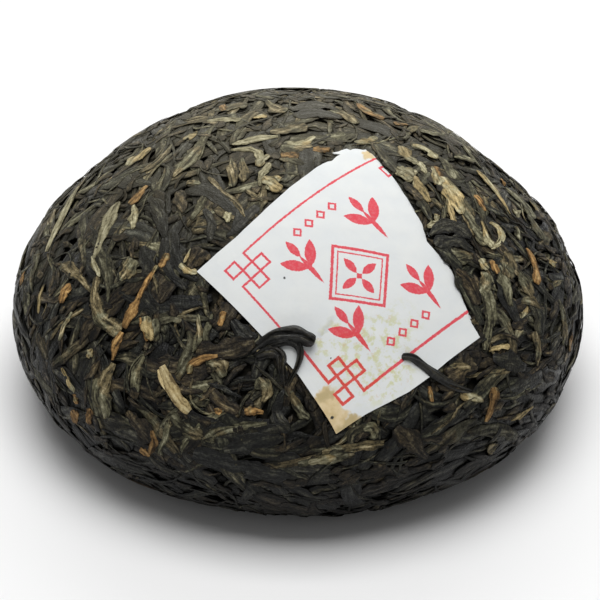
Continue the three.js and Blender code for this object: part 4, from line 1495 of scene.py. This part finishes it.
cloudy = desk.noise(sheet_at, 0.25, 3.0, 0.6)
colour = desk.mix(desk.ramp(cloudy, 0.3, 0.7), PAPER_BLUE, PAPER_WHITE)
speckled = spots(loose, *SPECKLED)
colour = desk.mix(patchy(0.85, 0.47, 0.62) * speckled * 0.9, colour, SPECKLE_GREEN)
colour = desk.mix(patchy(0.9, 0.56, 0.72, 4.0, 0.7) * speckled * 0.75, colour, SPECKLE_RUST)
stained = desk.mix(patchy(0.8, 0.3, 0.7, 4.0, 0.6), STAIN_TAN, STAIN_BROWN)
stained = desk.mix(spots(loose, *STAIN_RIMS) * 0.75, stained, STAIN_RIM)
colour = desk.mix(spots(loose, *STAINS) * 0.9, colour, stained)
colour = desk.mix(spots(loose, BESIDE_HOOK) * desk.ramp(cloudy, 0.35, 0.5) * 0.3, colour, SHADE_GREY)
colour = desk.mix(spots(crisp, *SPECKS), colour, SPECK_BLACK)
red = desk.mix(desk.noise(sheet_at, 1.1), RED, WORN_RED)
red = desk.mix(spots(loose, RED_IS_STAINED), red, STAINED_RED)
worn = desk.ramp(desk.noise(sheet_at, 2.2, 3.0, 0.7), 0.25, 0.6, 0.86, 1.0)
felt = desk.noise(sheet_at, 9.0, 4.0, 0.7) + cloudy * 6.0
desk.surface({
    "Base Color": desk.mix(ink * worn, colour, red),
    "Roughness": 0.8,
    "Normal": desk.bump(felt, 0.35, 0.05 * MM),
})
ticket.data.materials.append(paper)
print("nodes in the paper:", len(paper.node_tree.nodes))

# %% [markdown]
# ## Floor and light
# The cake lies on a plain pale floor under a large soft light from straight above, with a weaker
# one behind it that rims the crown. A little light from all round keeps the low front from going
# black.

# %% Floor and light
FLOOR_REACH, FLOOR_GREY = 1.5, 0.86
ROOM_LIGHT = 0.24
floor_mesh = bmesh.new()
bmesh.ops.create_grid(floor_mesh, x_segments=1, y_segments=1, size=FLOOR_REACH)
floor = new_piece("floor", floor_mesh)
floor_material, desk = new_material("pale floor")
desk.surface({"Base Color": (FLOOR_GREY, FLOOR_GREY, FLOOR_GREY, 1), "Roughness": 0.9})
floor.data.materials.append(floor_material)


def softbox(name, position, size, power):
    """A large area light that faces the cake."""
    light = bpy.data.lights.new(name, "AREA")
    light.shape = "RECTANGLE"
    light.size, light.size_y = size
    light.energy = power
    lamp = bpy.data.objects.new(name, light)
    lamp.location = position
    lamp.rotation_mode = "QUATERNION"
    lamp.rotation_quaternion = (Vector((0, 0, 0.02)) - lamp.location).to_track_quat("-Z", "Y")
    bpy.context.scene.collection.objects.link(lamp)


softbox("key light", (0.0, -0.02, 0.8), (0.6, 0.6), 5.9)
softbox("back light", (0.05, 0.7, 0.5), (0.9, 0.5), 3.2)
world = bpy.data.worlds.new("room")
world.use_nodes = True
world.node_tree.nodes["Background"].inputs["Color"].default_value = (1, 1, 1, 1)
world.node_tree.nodes["Background"].inputs["Strength"].default_value = ROOM_LIGHT
bpy.context.scene.world = world
print("lights:", len(bpy.data.lights))

# %% [markdown]
# ## Into the frame
# The leaves and the core stand for the solid cake, and the sheet for the solid ticket. All of it
# is one body.

# %% Ride and replace
for piece in pieces:
    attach(piece, "root")
    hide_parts("tea")
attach(ticket, "root")
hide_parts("ticket")
